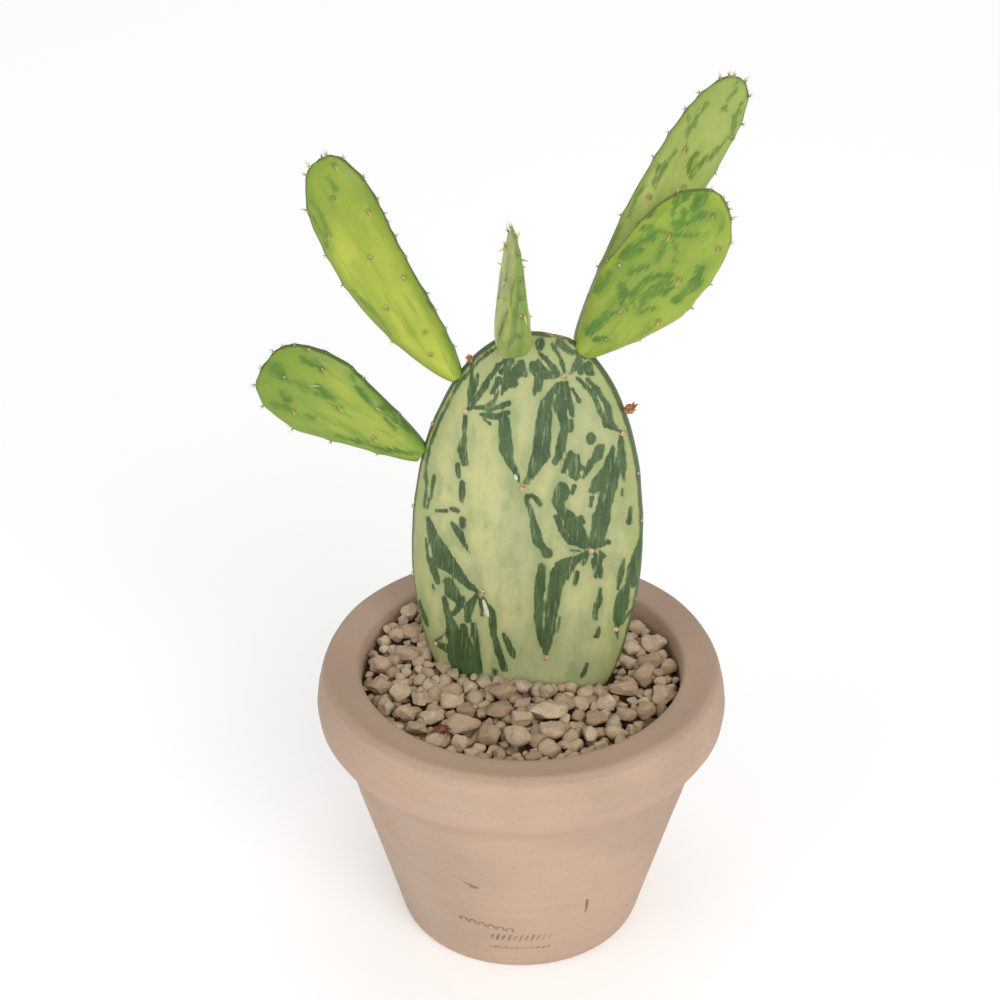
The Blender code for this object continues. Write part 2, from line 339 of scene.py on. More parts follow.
cushions = {
    "mother_pad": {
        "face": (
            (9, 169), (-24.5, 151.5), (-3, 124.5), (30.5, 148.5), (22.5, 101.5), (-16, 79.5), (8.5, 54.5),
            (33, 68), (-33, 52.5),
        ),
        "rim": ((-38.7, 108), (40, 113), (-40, 80), (41, 80), (-33, 142), (36, 132), (18, 178), (-12, 179)),
    },
    "pad_lower_left": {
        "face": ((13.5, 55.5), (10.5, 47.5), (1, 57), (-8.5, 48), (1.5, 35), (8, 23.5), (-2, 19)),
        "rim": (
            (0, 65), (5, 64), (9, 62), (13, 60.5), (18, 49.5), (17, 38), (16, 32.5), (11, 15), (-8.5, 63.5),
            (-12.5, 56.5), (-14, 44), (-11, 30.5), (-8, 14),
        ),
    },
    "pad_upper_left": {
        "face": (
            (3.5, 88), (-2.5, 79), (5, 69), (-10.5, 68.5), (-2.5, 55), (3.5, 42.5), (-7, 36.5), (0, 22),
            (-2.5, 14),
        ),
        "rim": (
            (1, 92.5), (3, 92), (7, 88.5), (-4, 92), (-7, 89.5), (9, 79.5), (10.5, 70), (9, 61.5), (9, 56),
            (9, 48), (-14.5, 50), (6, 26.5), (6, 18.5), (-10, 24), (-15, 62), (-13, 79),
        ),
    },
    "pad_middle": {
        "face": ((-3, 40), (2, 30), (-3, 20), (4, 10)),
        "rim": (
            (12, 22), (-12, 24), (10, 35), (-10, 36), (7, 43), (-7, 44), (11, 14), (-11, 12), (3, 49),
            (-3, 49.5), (12.5, 29),
        ),
    },
    "pad_front_right": {
        "face": ((-4, 59), (3, 73), (11.5, 64), (-10.5, 38.5), (8, 47), (-0.5, 24.5), (12, 29), (2, 12.5)),
        "rim": (
            (-11.5, 72), (-16, 54), (-2.5, 80), (3, 79.5), (7.5, 78), (10, 75), (14, 67), (15.5, 49),
            (16.5, 38), (9, 18), (-12, 20.5), (-16, 36), (5.5, 79),
        ),
    },
    "pad_rear_right": {
        "face": ((0.5, 99), (-4, 81), (7.5, 91.5), (2, 69.5), (-6.5, 61), (3, 48), (-3, 34)),
        "rim": (
            (-9.5, 92), (-11, 72.5), (-9, 99), (1.5, 110), (-4, 110), (-2, 111), (-6.5, 107.5), (6, 106),
            (9, 97), (9, 78), (-11.5, 82.5), (-11.5, 49.5), (10, 62), (9, 44), (-9, 30),
        ),
    },
}

# the dark marks on each pad's face, drawn as strokes of across, up and half width

padMarks = {}
padMarks["mother_pad"] = (
    # a thin line inside the upper left margin
    ((-39, 122, 0.1), (-36.8, 136, 0.3), (-33.6, 146.5, 0.35), (-27.6, 160.5, 0.35), (-20, 171.5, 0.3),
     (-14, 177, 0.1)),
    # fan up from the upper left cushion
    ((-23.5, 153, 0.3), (-23, 159, 0.7), (-23, 169, 0.5)),
    ((-23, 155, 0.3), (-21.5, 162, 0.7), (-21, 166, 0.3)),
    ((-23, 153, 0.4), (-18.5, 161.5, 0.9), (-14, 170, 0.6), (-11.5, 172.5, 0.4)),
    ((-9.5, 172.5, 1.1), (-12.5, 168, 0.8)),
    ((-13.5, 165, 1.1), (-15.5, 160, 0.5)),
    ((-7, 170, 1.6), (-9.5, 166.5, 2.2), (-8.5, 164.5, 1.6)),
    ((-11, 163.5, 0.8), (-12, 160, 0.4)),
    ((-6, 172, 1.2), (-4.5, 168, 0.9)),
    ((-22.5, 153.5, 0.4), (-17.5, 154.5, 0.6), (-15, 156.5, 0.6), (-13, 161, 0.3)),
    ((-17, 153, 0.3), (-14, 154.5, 0.6), (-9.5, 157, 0.8)),
    ((-19, 151.5, 0.3), (-13, 151.5, 1.3), (-9.5, 153.5, 0.7)),
    ((-18, 150, 0.2), (-15.5, 148.5, 0.3)),
    ((-11, 151, 1.6), (-10, 145, 2), (-9.5, 139.5, 2.3), (-8.5, 136, 1.6), (-7, 133, 1.2), (-4, 126.5, 0.2)),
    # and down from it
    ((-24.5, 149.5, 0.5), (-24.5, 142, 0.7), (-25, 136, 1.6), (-24, 131.5, 1)),
    ((-26.5, 130.5, 0.9), (-26, 125.5, 0.3)),
    ((-24.5, 123.5, 0.8), (-24.5, 119, 1.1), (-24.5, 116, 0.4)),
    ((-28, 112, 0.6), (-26, 112, 0.6)),
    ((-24, 108.5, 1.2), (-24, 106, 1)),
    ((-27.5, 106, 0.7), (-25, 103, 1.3), (-21.5, 95.5, 0.3)),
    # round the top
    ((0, 179.5, 1.6), (0, 178, 1)),
    ((9, 171, 0.3), (7.5, 175, 0.5), (4, 180, 0.4)),
    ((7.5, 170, 0.3), (5, 172, 1), (2, 175, 0.7), (0, 176.5, 0.4)),
    ((7, 170, 0.3), (3.5, 170, 0.6), (-0.5, 174, 0.3)),
    ((7.5, 169.5, 0.3), (5, 169, 1), (3, 168.5, 0.7)),
    ((-1.5, 172, 1.6), (0.5, 168, 1.6), (0, 163.5, 1.2), (-0.5, 161.5, 0.5)),
    ((6, 180.5, 0.9), (11, 177.5, 0.7)),
    ((11, 170.5, 0.3), (12.5, 172.5, 1.2), (13.5, 174.5, 1)),
    ((13, 175, 0.5), (14.5, 171, 0.8)),
    ((15.5, 173.5, 0.5), (17, 170.5, 0.4)),
    ((17, 174, 0.4), (18.5, 170.5, 0.4)),
    ((12, 177.5, 0.4), (15.5, 176, 0.4)),
    # two lines from the top cushion to the right one
    ((13.5, 169, 0.3), (19, 164, 0.6), (22.5, 156.5, 0.6), (24.5, 152, 0.8), (29.5, 149.5, 0.3)),
    ((17, 168.5, 0.3), (20.5, 165, 0.7), (24.5, 159, 0.8), (26, 153, 0.7), (28, 151, 0.4)),
    # the big fan down from the top cushion
    ((7.5, 166.5, 0.3), (5, 163, 0.8), (3.5, 158, 2), (3, 150, 2.6), (3, 139.5, 2.9), (1, 134.5, 2.2),
     (-1.5, 126.5, 0.3)),
    ((8.5, 166.5, 0.7), (8.5, 158, 1.8), (10.5, 149.5, 1), (9.5, 142, 1.6), (8, 136, 0.7)),
    ((10, 167, 0.4), (12, 158, 1), (13, 155, 0.7)),
    ((12.5, 153, 0.6), (12.5, 149, 0.6)),
    ((12, 165, 0.3), (15, 160.5, 0.5)),
    ((20, 147, 1.5), (20, 146, 1.5)),
    # long band down from the right cushion
    ((30, 147.5, 0.4), (30.5, 139.5, 1.2), (29, 135, 1.5), (28, 125.5, 1.4), (27, 120.5, 1.3),
     (26, 114, 2.2), (24.5, 106.5, 2.2), (23, 103.5, 0.8)),
    ((31, 141, 0.7), (31.5, 136.5, 0.7), (32, 130, 0.2)),
    ((32, 127, 0.3), (32, 124.5, 0.4)),
    ((35, 119.5, 0.3), (35, 113.5, 0.8)),
    ((27.5, 143.5, 0.5), (27, 138.5, 1.4), (25, 132, 2.4), (23.5, 129.5, 2.4), (21.5, 126, 0.9)),
    ((23, 143, 1.6), (22.5, 140, 1.5), (20.5, 137.5, 1), (18, 131.5, 0.4)),
    ((21.5, 123.5, 0.6), (21, 120, 0.6)),
    ((25, 126.5, 0.9), (24, 118, 0.7), (23, 115, 0.9), (22.5, 104.5, 0.4)),
    # broken patches in the middle right
    ((13, 140.5, 0.7), (12, 136.5, 0.7), (11, 133, 0.5)),
    ((15, 139.5, 1), (15, 135.5, 2.1), (14.5, 132, 1.3), (15.5, 130.5, 0.6)),
    ((17.5, 135.5, 0.7), (17.5, 134.5, 0.7)),
    ((11, 126.5, 2.1), (10.5, 123, 2.4), (9.5, 120.5, 1.9), (11.5, 117, 1.7), (14, 114.5, 2.3),
     (15.5, 111.5, 3.1), (17, 108.5, 3), (19, 105.5, 2.1), (20.5, 103, 0.6)),
    ((18, 115, 0.7), (19, 113, 0.8)),
    ((15, 127.5, 0.8), (14.5, 124.5, 0.5)),
    ((9.5, 114.5, 0.8), (12, 108, 0.9), (14.5, 104.5, 1), (20, 102.5, 0.3)),
    # down from the middle cushion
    ((-1.5, 122, 0.4), (-1, 118.5, 0.7), (1, 112.5, 1), (2.5, 107, 1.7), (3.5, 103, 1.6), (5.5, 101, 1.1),
     (7, 99, 2)),
    ((0, 122, 0.5), (2, 120.5, 0.8), (3.5, 118.5, 0.6)),
    # the star of the lower right cushion
    ((21, 100.5, 0.4), (17.5, 97.5, 1.1), (14, 96, 1.4), (11, 94.5, 0.8)),
    ((15.5, 101, 0.2), (18, 101, 0.3)),
    ((23.5, 102.5, 0.3), (28, 105.5, 0.8)),
    ((23.5, 100.5, 0.4), (25.5, 98.5, 0.9), (25.5, 96.5, 0.8)),
    ((25, 101.5, 0.3), (27, 99.5, 0.6)),
    ((21.5, 100, 0.3), (20.5, 96, 0.4)),
    ((23.5, 97.5, 0.5), (24.5, 90.5, 0.5)),
    ((25, 97.5, 0.9), (26, 93.5, 1), (26.5, 90.5, 0.7)),
    ((26.5, 85.5, 0.5), (26.5, 81.5, 0.8), (26.5, 78, 0.3)),
    ((25.5, 78.5, 0.6), (25.5, 73, 0.7)),
    ((27, 69, 0.3), (26.5, 65.5, 0.6), (25.5, 65.5, 0.2)),
    ((23.5, 53, 0.5), (22, 47, 0.5)),
    # the two long tongues
    ((5, 93.5, 1.2), (5, 89, 1.5), (4.5, 80, 1.6), (5, 70, 1.2), (7, 60, 0.9), (8.5, 56, 0.4)),
    ((11.5, 90.5, 3), (10.5, 85, 2.5), (9.5, 75, 2.2), (9, 66, 1.8), (8.5, 60, 1.5), (8.5, 56.5, 0.6)),
    ((12.5, 93.5, 1.6), (14.5, 95, 1.8)),
    ((14.5, 89, 0.8), (16, 93.5, 0.8), (17.5, 97, 0.7)),
    ((18, 92, 0.5), (17.5, 87, 0.5)),
    ((20, 96, 0.5), (19.5, 94.5, 0.2)),
    ((13, 72.5, 0.3), (12, 66, 0.4)),
    # down the right margin
    ((40.5, 111.5, 0.2), (38.5, 101.5, 1), (37, 95, 1.5), (37.5, 88.5, 1.1), (38, 86, 0.4)),
    ((36, 92, 0.5), (36, 88, 0.6), (34.5, 82, 2.1), (34, 77, 2.2), (33.5, 73, 1.5), (33.5, 69.5, 0.5)),
    ((38, 76, 0.2), (36, 72.5, 0.3), (35, 70, 0.2)),
    ((33.5, 67, 0.3), (34, 63.5, 0.2)),
    ((34, 98, 0.5), (33.5, 93.5, 0.8), (32.5, 85.5, 0.2)),
    # from the left margin cushion
    ((-30, 111, 0.4), (-34, 110, 0.2)),
    ((-38.5, 110, 0.2), (-38, 119, 0.3), (-38.5, 129.5, 0.2)),
    ((-37.5, 110, 0.3), (-36, 115.5, 0.4), (-35, 124, 0.4)),
    ((-37, 106, 0.7), (-34, 98, 2.4), (-30, 90, 4), (-26.5, 87, 2.6), (-21, 81.5, 1.3), (-17.5, 79.5, 0.4)),
    ((-37.5, 97.5, 0.2), (-36, 88, 0.4)),
    ((-35.5, 89, 0.8), (-34, 84.5, 1.2), (-32.5, 80.5, 1)),
    ((-34.5, 79, 0.2), (-33.5, 76.5, 0.3)),
    ((-39.5, 69, 0.4), (-38, 63.5, 1), (-36.5, 59.5, 0.7)),
    # the dark mass at the lower left
    ((-28.5, 81.5, 1.7), (-27, 77, 2.6), (-24, 73.5, 1.2)),
    ((-22.5, 76, 0.4), (-24, 72, 1), (-26, 68, 0.8)),
    ((-30, 74, 0.6), (-28, 66, 1.3), (-26, 60, 2.7), (-24, 52.5, 3.7), (-22, 44, 3.6)),
    ((-17.5, 78.5, 0.4), (-20.5, 73, 1.4), (-21, 66.5, 1)),
    ((-22.5, 63.5, 1), (-20.5, 54, 1.7), (-19.5, 45, 2.4)),
    ((-18.5, 65, 0.8), (-17.5, 57, 1.1), (-16.5, 45, 1.8)),
    ((-16.5, 76.5, 0.3), (-15.5, 69.5, 0.6)),
    ((-15.5, 77.5, 0.4), (-12, 71.5, 1), (-11.5, 68, 1.4), (-11, 61.5, 1), (-8.5, 54, 1.3),
     (-6.5, 47.5, 1.1)),
    ((-7.5, 63, 0.3), (-6, 60, 0.8), (-4.5, 57, 1), (-3.5, 53.5, 0.7)),
    ((-10, 46, 0.9), (-10, 44, 0.6)),
    ((-33.5, 52.5, 0.4), (-30.5, 52.5, 1.4), (-27, 52, 2.2)),
    ((-33, 53.5, 0.2), (-31, 56, 0.3), (-29.5, 58.5, 0.2)),
    ((-27.5, 48.5, 0.7), (-24, 42, 1.8)),
)
padMarks["pad_lower_left"] = (
    ((1.5, 60.5, 2.3), (1, 58.5, 1.7)),
    ((10, 55, 0.6), (10.5, 51.5, 1), (10.5, 47.5, 0.6)),
    ((1, 56, 0.3), (1.5, 50, 0.8), (1.5, 45, 0.5)),
    ((4, 45.5, 0.6), (3, 40.5, 0.9), (1.5, 36, 0.3)),
    ((-4.5, 54.5, 0.9), (-5.5, 51, 0.6)),
    ((-10.5, 54.5, 1.2), (-9, 50.5, 1)),
    ((-8, 43.5, 0.3), (-7, 40.5, 0.3)),
    ((13, 37, 0.4), (10.5, 32.5, 0.7), (8.5, 25, 0.3)),
    ((8.5, 23.5, 0.4), (9, 20.5, 1.3), (7.5, 15, 0.8)),
    ((7, 13.5, 0.4), (7, 6, 0.9), (6, 2.5, 0.8)),
    ((6.5, 19, 0.3), (5, 14.5, 0.3)),
    ((-9, 30, 0.5), (-6, 20.5, 0.8), (-4.5, 14, 1), (1, 2, 0.3)),
)
padMarks["pad_upper_left"] = (
    ((-9.5, 81, 0.4), (-9.5, 75.5, 0.8), (-10.5, 69.5, 0.3)),
    ((-12.5, 77.5, 0.3), (-12.5, 72.5, 0.4), (-13, 65, 0.3)),
    ((-14, 47, 0.4), (-12, 37.5, 0.8), (-10.5, 27, 0.5)),
    ((8.5, 46.5, 0.4), (7.5, 35.5, 0.7), (6, 27.5, 0.4)),
    ((5.5, 17.5, 0.3), (4.5, 6.5, 0.4)),
    ((-1, 86, 0.3), (0, 81, 0.5)),
)
padMarks["pad_middle"] = (
    ((6, 20, 0.4), (4, 14, 0.9), (2, 6, 0.4)),
    ((10.5, 42, 0.4), (11.6, 30, 0.9), (10.5, 14, 0.6), (7, 4, 0.3)),
    ((-7, 30, 0.4), (-5, 22, 0.8), (-5, 14, 0.4)),
    ((0, 38, 0.3), (1, 32, 0.7), (0, 26, 0.4)),
    ((8, 34, 0.3), (7, 28, 0.6), (8, 24, 0.3)),
)
padMarks["pad_front_right"] = (
    ((-5.5, 62, 0.3), (-8, 66.5, 0.7), (-9.5, 70.5, 1)),
    ((-4.5, 62, 0.5), (-4, 65, 1.3), (-5, 68.5, 0.8)),
    ((-4, 61.5, 0.4), (-2.5, 65.5, 1.1), (-0.5, 69, 1), (0.5, 73, 0.5)),
    ((-2.5, 60.5, 0.3), (0.5, 62, 0.6), (2.5, 64, 0.5)),
    ((-6, 59, 0.3), (-8, 57.5, 0.6), (-9, 54, 1.2), (-10, 50.5, 0.9)),
    ((-1.5, 57.5, 0.3), (1, 55, 0.5), (3, 52, 0.2)),
    ((-3.5, 56, 0.4), (-3, 52, 0.6), (-2, 48.5, 0.5)),
    ((-3.5, 76, 1.9), (-3, 72, 1.5)),
    ((-8, 72.5, 1.2), (-7.5, 74.5, 0.8)),
    ((-11.5, 41, 0.6), (-11, 45, 1.7), (-10.5, 48.5, 1)),
    ((-9.5, 43.5, 0.5), (-8, 48.5, 0.4)),
    ((5.5, 47, 0.3), (2.5, 44.5, 0.6), (-0.5, 40.5, 0.9), (-1.5, 32, 0.6)),
    ((6.5, 44.5, 0.3), (4.5, 41.5, 0.8), (2.5, 35.5, 1), (1, 30, 0.6)),
    ((8.5, 43.5, 0.3), (7, 40, 1.2), (4.5, 35.5, 0.4)),
    ((-1.5, 27, 0.6), (-4, 31.5, 1.7), (-6.5, 33.5, 1)),
    ((1, 27, 0.3), (2.5, 30, 0.4), (4, 32.5, 0.4)),
    ((5, 28, 0.4), (7.5, 32.5, 0.4)),
    ((-2, 23, 0.4), (-3.5, 19.5, 1.2), (-4, 14.5, 1.5), (-4, 10, 1)),
    ((-6.5, 38, 0.6), (-5, 41.5, 0.9), (-3.5, 44.5, 0.5)),
    ((-11.5, 34, 0.8), (-11, 29, 1.2), (-10.5, 24.5, 0.6)),
    ((-15, 55, 0.4), (-13.5, 58.5, 0.6), (-13, 62, 0.4)),
    ((-12, 54.5, 0.7), (-10, 57.5, 0.5)),
    ((11.5, 55, 0.9), (13.5, 48.5, 1.6), (12, 39.5, 1.4)),
    ((-0.5, 10, 0.8), (1.5, 13, 0.6)),
)
padMarks["pad_rear_right"] = (
    ((-5.5, 97.5, 0.3), (-6, 93, 0.7), (-5.5, 89, 0.3)),
    ((-8, 91, 0.3), (-6.5, 87.5, 0.6), (-4, 81, 0.2)),
    ((4.5, 103, 0.3), (5, 98, 0.8), (7.5, 92, 0.2)),
    ((6.5, 91, 0.2), (5.5, 86.5, 0.5), (4, 81.5, 0.5), (2.5, 77.5, 0.6), (2, 74, 0.5)),
    ((0, 81.5, 0.3), (-0.5, 77.5, 0.7), (0.5, 75, 0.6)),
    ((-6.5, 79.5, 0.2), (-7, 75.5, 0.5), (-7, 64, 0.5)),
    ((-9, 71.5, 0.3), (-7.5, 65.5, 0.6)),
    ((-0.5, 109.5, 0.3), (0.5, 106.5, 0.3), (0.5, 100, 0.2)),
    ((-9.5, 64.5, 0.3), (-10, 58, 0.4), (-9, 51, 0.4)),
    ((-11, 48, 0.4), (-9.5, 40, 0.6), (-8.5, 31, 0.4)),
    ((2, 60, 0.3), (1, 50, 0.6), (2, 40, 0.4)),
)


def backMarks(name):
    # the back carries the same sort of marks, turned over, shifted and thinned out
    draw = random.Random(len(name))
    turned = []
    for stroke in padMarks[name]:
        if draw.random() < 0.2:
            continue
        width = draw.uniform(0.6, 1.3)
        dx, dz = draw.uniform(-2, 2), draw.uniform(-6, 3)
        turned.append(tuple((dx - x, z + dz, w * width) for x, z, w in stroke))
    return turned


# pad skins: the tones, then how strong the pattern is

youngLook = dict(
    rimWidth=(0.3, 0.8), soft=0.6, hair=0.4, sideWidth=3.5, wobble=2, markStrength=0.85, rough=0.4,
    grain=0.25, spread=0.2, swell=(0.5, 2), pit=(0.3, 0.8), sunk=0.12, waves=0.4,
)
# each side tone is partly the pad's own greener edge and partly painted shade towards its rounded margin
padLooks = {
    "mother_pad": dict(
        pale=(184, 188, 138), warm=(202, 200, 142), cool=(148, 164, 112), side=(162, 170, 106),
        mark=(66, 95, 56), deep=(46, 76, 40), rim=(64, 92, 52), rimWidth=(1, 1.8), sideWidth=12, wobble=1.7,
        streaks=0.9, markStrength=0.97, rough=0.42, grain=0.5, spread=0.3, soft=0.32, hair=0.62, long=183,
        greenTip=0.15, bands=0.06, swell=(0.25, 4.5), pit=(0.3, 1.6), sunk=0, waves=0.7,
    ),
    "pad_lower_left": dict(
        youngLook, pale=(158, 174, 68), warm=(172, 184, 74), cool=(124, 154, 58), side=(120, 148, 52),
        mark=(92, 132, 44), deep=(64, 106, 36), rim=(72, 98, 44), rimWidth=(0.4, 1), soft=0.75, sideWidth=6,
        wobble=3, streaks=3.6, spread=0.3, long=65, greenTip=0.8, bands=0.45,
    ),
    "pad_upper_left": dict(
        youngLook, pale=(172, 182, 62), warm=(192, 198, 74), cool=(146, 166, 56), side=(122, 148, 52),
        mark=(102, 140, 46), deep=(78, 118, 40), rim=(72, 98, 46), rimWidth=(0.4, 1), soft=0.75, hair=0.5,
        sideWidth=5.5, wobble=2.6, streaks=3.1, markStrength=0.8, long=92, greenTip=0.7, bands=0.45,
    ),
    "pad_middle": dict(
        youngLook, pale=(182, 190, 102), warm=(196, 202, 112), cool=(132, 158, 76), side=(138, 162, 74),
        mark=(98, 134, 58), deep=(82, 118, 50), rim=(122, 150, 72), rimWidth=(0.2, 0.8), hair=0.5,
        sideWidth=4, streaks=2.4, markStrength=0.8, long=50, greenTip=0.1, bands=0.3,
    ),
    "pad_front_right": dict(
        youngLook, pale=(144, 164, 60), warm=(158, 176, 66), cool=(118, 148, 50), side=(156, 174, 50),
        mark=(88, 130, 40), deep=(64, 110, 36), rim=(84, 112, 48), soft=0.7, hair=0.3, wobble=2.6,
        streaks=4.2, markStrength=0.88, spread=0.25, long=80, greenTip=0, bands=0.55,
    ),
    "pad_rear_right": dict(
        youngLook, pale=(192, 202, 114), warm=(206, 212, 124), cool=(164, 182, 94), side=(142, 162, 74),
        mark=(104, 138, 54), deep=(82, 118, 44), rim=(84, 108, 52), streaks=3.4, spread=0.15, long=110,
        greenTip=0.8, bands=0.4,
    ),
}


def padMaterial(name, look):
    made, shader = newMaterial(name + "_skin", look["rough"], 0.4)
    place = attribute(shader, "padPlace", "Vector")
    mark, rim, cushion = (attribute(shader, key) for key in ("mark", "rim", "cushion"))

    def grain(scale, along, detail=2, rough=0.5):
        # noise drawn out along the pad
        return noiseAt(place, scale, (1, 1, along), detail, rough)

    # ragged, streaky edges for the marks
    wobble = calc("SUBTRACT", grain(0.42, 0.5, 3), 0.5)
    streak = calc("SUBTRACT", grain(1.5, 0.16), 0.5)
    edge = calc("MULTIPLY_ADD", wobble, look["wobble"], mark)
    edge = calc("MULTIPLY_ADD", streak, look["streaks"], edge)
    inside = fade(edge, -look["soft"], look["soft"], 1, 0)
    hairs = fade(grain(1.1, 0.09), 0.58, 0.7, 1, look["hair"])
    inside = calc("MULTIPLY", calc("MULTIPLY", inside, hairs), look["markStrength"])
    # the ground: soft blotches, cooler near the marks, the side tone towards the margin, partly the pad's
    # own greener edge and partly painted shade where the rounded sides turn from the light
    up = addNode(place, "ShaderNodeSeparateXYZ", {0: place}).outputs[2]
    speckle = fade(grain(2.2, 1, 2, 0.6), 0.5, 0.66, 0, 0.22)
    ground = mix(fade(grain(0.06, 0.45), 0.36, 0.64), look["pale"], look["warm"])
    for share, tone in (
        (fade(grain(0.17, 0.45, 3), 0.42, 0.72, 0, 0.75), "cool"),
        (fade(grain(0.4, 0.12, 3, 0.6), 0.5, 0.72, 0, look["bands"]), "mark"),
        (fade(mark, 0, 4, 0.4, 0), "cool"),
        (fade(up, 0.45 * look["long"], look["long"], 0, look["greenTip"]), "side"),
        (fade(rim, 0.5, look["sideWidth"], 0.75, 0), "side"),
        (speckle, "cool"),
    ):
        ground = mix(share, ground, look[tone])
    # the dark of the marks changes slowly, with finer lengthwise lines
    dark = mix(fade(grain(0.16, 0.6), 0.35, 0.65), look["deep"], look["mark"])
    dark = mix(fade(grain(1, 0.1, 3), 0.45, 0.8, 0, 0.22), dark, look["cool"])
    dark = mix(calc("MULTIPLY", speckle, 0.5), dark, look["pale"])
    skin = mix(inside, ground, dark)
    rimEdge = calc("MULTIPLY_ADD", wobble, 0.9, rim)
    skin = mix(fade(rimEdge, *look["rimWidth"], 0.9, 0), skin, look["rim"])
    skin = mix(fade(cushion, 0.7, 1.7, 0.4, 0), skin, look["deep"])
    height = calc("MULTIPLY_ADD", grain(3.2, 0.7, 3, 0.6), 0.12, grain(0.35, 0.3, 3))
    coat(shader, skin, height, look["grain"], 0.6 * mm)
    shader.inputs["Subsurface Weight"].default_value = 0.08
    shader.inputs["Subsurface Radius"].default_value = (0.6, 0.8, 0.3)
    shader.inputs["Subsurface Scale"].default_value = 2 * mm
    return made


def padSlot(name):
    return "old_pad" if name == "mother_pad" else "young_pad"


def cushionPlaces(name):
    # every cushion as (point, outward direction, kind) in the pad's own millimetres
    shape = padShapes[name]
    found = [(*skinAt(shape, x, z, -1), "face") for x, z in cushions[name]["face"]]
    found += [(*marginAt(shape, x, z), "rim") for x, z in cushions[name]["rim"]]
    found += [(*skinAt(shape, 1.5 - x, z - 4, 1), "back") for x, z in cushions[name]["face"]]
    return found


def buildPad(name):
    shape, look = padShapes[name], padLooks[name]
    bm = bmesh.new()
    addBall(bm, *shape.get("grid", (112, 150)))
    made = makePiece(name + "_skin", bm, padMaterial(name, look))
    mesh = made.data
    ball = pointsOf(mesh)
    share = (np.arccos(np.clip(-ball[:, 2], -1, 1)) / math.pi) ** shape.get("crowd", 1)
    t = 0.5 * (1 - np.cos(math.pi * share))
    angle = np.arctan2(ball[:, 1], ball[:, 0])
    skin = skinPoints(shape, t, angle)
    x, y, z = skin.T
    # distances for the pattern, in millimetres
    sides = [strokeDistance(x, z, strokes) for strokes in (padMarks[name], backMarks(name))]
    mark = np.where(y <= 0, *sides) - look["spread"]
    marginX = middleLine(shape, t) + np.sign(np.cos(angle)) * halfWidth(shape, t)
    rim = np.hypot(x - marginX, 0.35 * y)
    rim = np.minimum(rim, np.hypot(padLength(shape) - z, 0.35 * y) + 0.2)
    nearest = np.full(len(x), 9.0)
    for point, out, kind in cushionPlaces(name):
        nearest = np.minimum(nearest, np.linalg.norm(skin - np.array(point), axis=1))
    # a swell with a pit at each cushion, and slow waves
    (swell, swellReach), (pit, pitReach) = look["swell"], look["pit"]
    rise = swell * bell(nearest, swellReach) - pit * bell(nearest, pitReach) - look["sunk"]
    waves = cellNoise(skin * (1, 1, 0.6), 0.06, len(name))
    rise += waves * look["waves"] * smoothStep(z, 0, 12)
    # push the skin in or out along its own normals
    setPoints(mesh, skin)
    skinNow = skin + pointsOf(mesh, "normal") * rise[:, None]
    place = padPlace(shape)
    setPoints(mesh, skinNow @ np.array(place.to_3x3()).T + np.array(place.translation))
    for key, values in (("mark", mark), ("rim", rim), ("cushion", nearest)):
        floatAttribute(mesh, key, values)
    mesh.attributes.new("padPlace", "FLOAT_VECTOR", "POINT").data.foreach_set("vector", skin.ravel())
    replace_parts(made, name)


for padName in padShapes:
    buildPad(padName)
print("pads grown:", len(padShapes))


# cushions, with their wool, bristles and soft leaves

cushionLook = {
    "woolRadius": 0.62, "bristles": 7, "bristleLength": (0.5, 1.3), "bristleRadius": 0.075,
    "spikeLength": (1.2, 2.3), "spikeRadius": 0.1, "bareBelow": 44,
    "leafLength": (2, 3.6), "leafRadius": 0.5, "leafSteps": (8, 7),
}


def bristleMaterial():
    made, shader = newMaterial("bristle_brown", 0.55, 0.3)
    coat(shader, mix(noiseAt(objectPlace(shader), 0.5), (92, 48, 26), (196, 140, 78)))
    return made


def leafMaterial():
    made, shader = newMaterial("soft_leaf", 0.45, 0.4)
    grain = noiseAt(objectPlace(shader), 0.8, detail=3)
    body = mix(grain, (196, 196, 96), (228, 218, 134))
    coat(shader, mix(fade(attribute(shader, "tip"), 1.1, 1.5), body, (206, 172, 100)), grain, 0.3, 0.3 * mm)
    return made


woolTones = ((172, 122, 80), (240, 216, 176))
wool = grainyMaterial("cushion_wool", 0.9, woolTones, (1.6, 5), 3, (0.8, 0.3 * mm), (0.35, 0.6))
bristle = bristleMaterial()
leafGreen = leafMaterial()


def addWool(bm, point, out, size):
    place = Matrix.Translation(point - out * 0.12) @ facing(out) @ Matrix.Diagonal((1, 1, 0.55, 1))
    for vert in addKnob(bm, cushionLook["woolRadius"] * size, place):
        vert.co += vert.co.normalized() * rng.uniform(-0.08, 0.08)


def addBristle(bm, point, direction, long, thick):
    place = Matrix.Translation(point + direction * long * 0.5) @ facing(direction)
    ends = {"radius1": thick, "radius2": thick * 0.12, "depth": long}
    bmesh.ops.create_cone(bm, cap_ends=False, segments=4, matrix=place, **ends)


def addLeaf(bm, point, out, droop, long, thick):
    # a small pointed cone of a leaf that curves towards droop
    turn = facing(out)
    for vert in addBall(bm, *cushionLook["leafSteps"]):
        share = 0.5 * (1 + vert.co.z)
        flat = math.hypot(vert.co.x, vert.co.y) + 1e-9
        wide = thick * (1 - share) ** 0.7 * min(1, 0.35 + share * 4) * min(1, flat * 3)
        local = Vector((vert.co.x / flat * wide, vert.co.y / flat * wide, share * long))
        vert.co = Vector(point) + turn @ local + Vector(droop) * share * share * long * 0.4


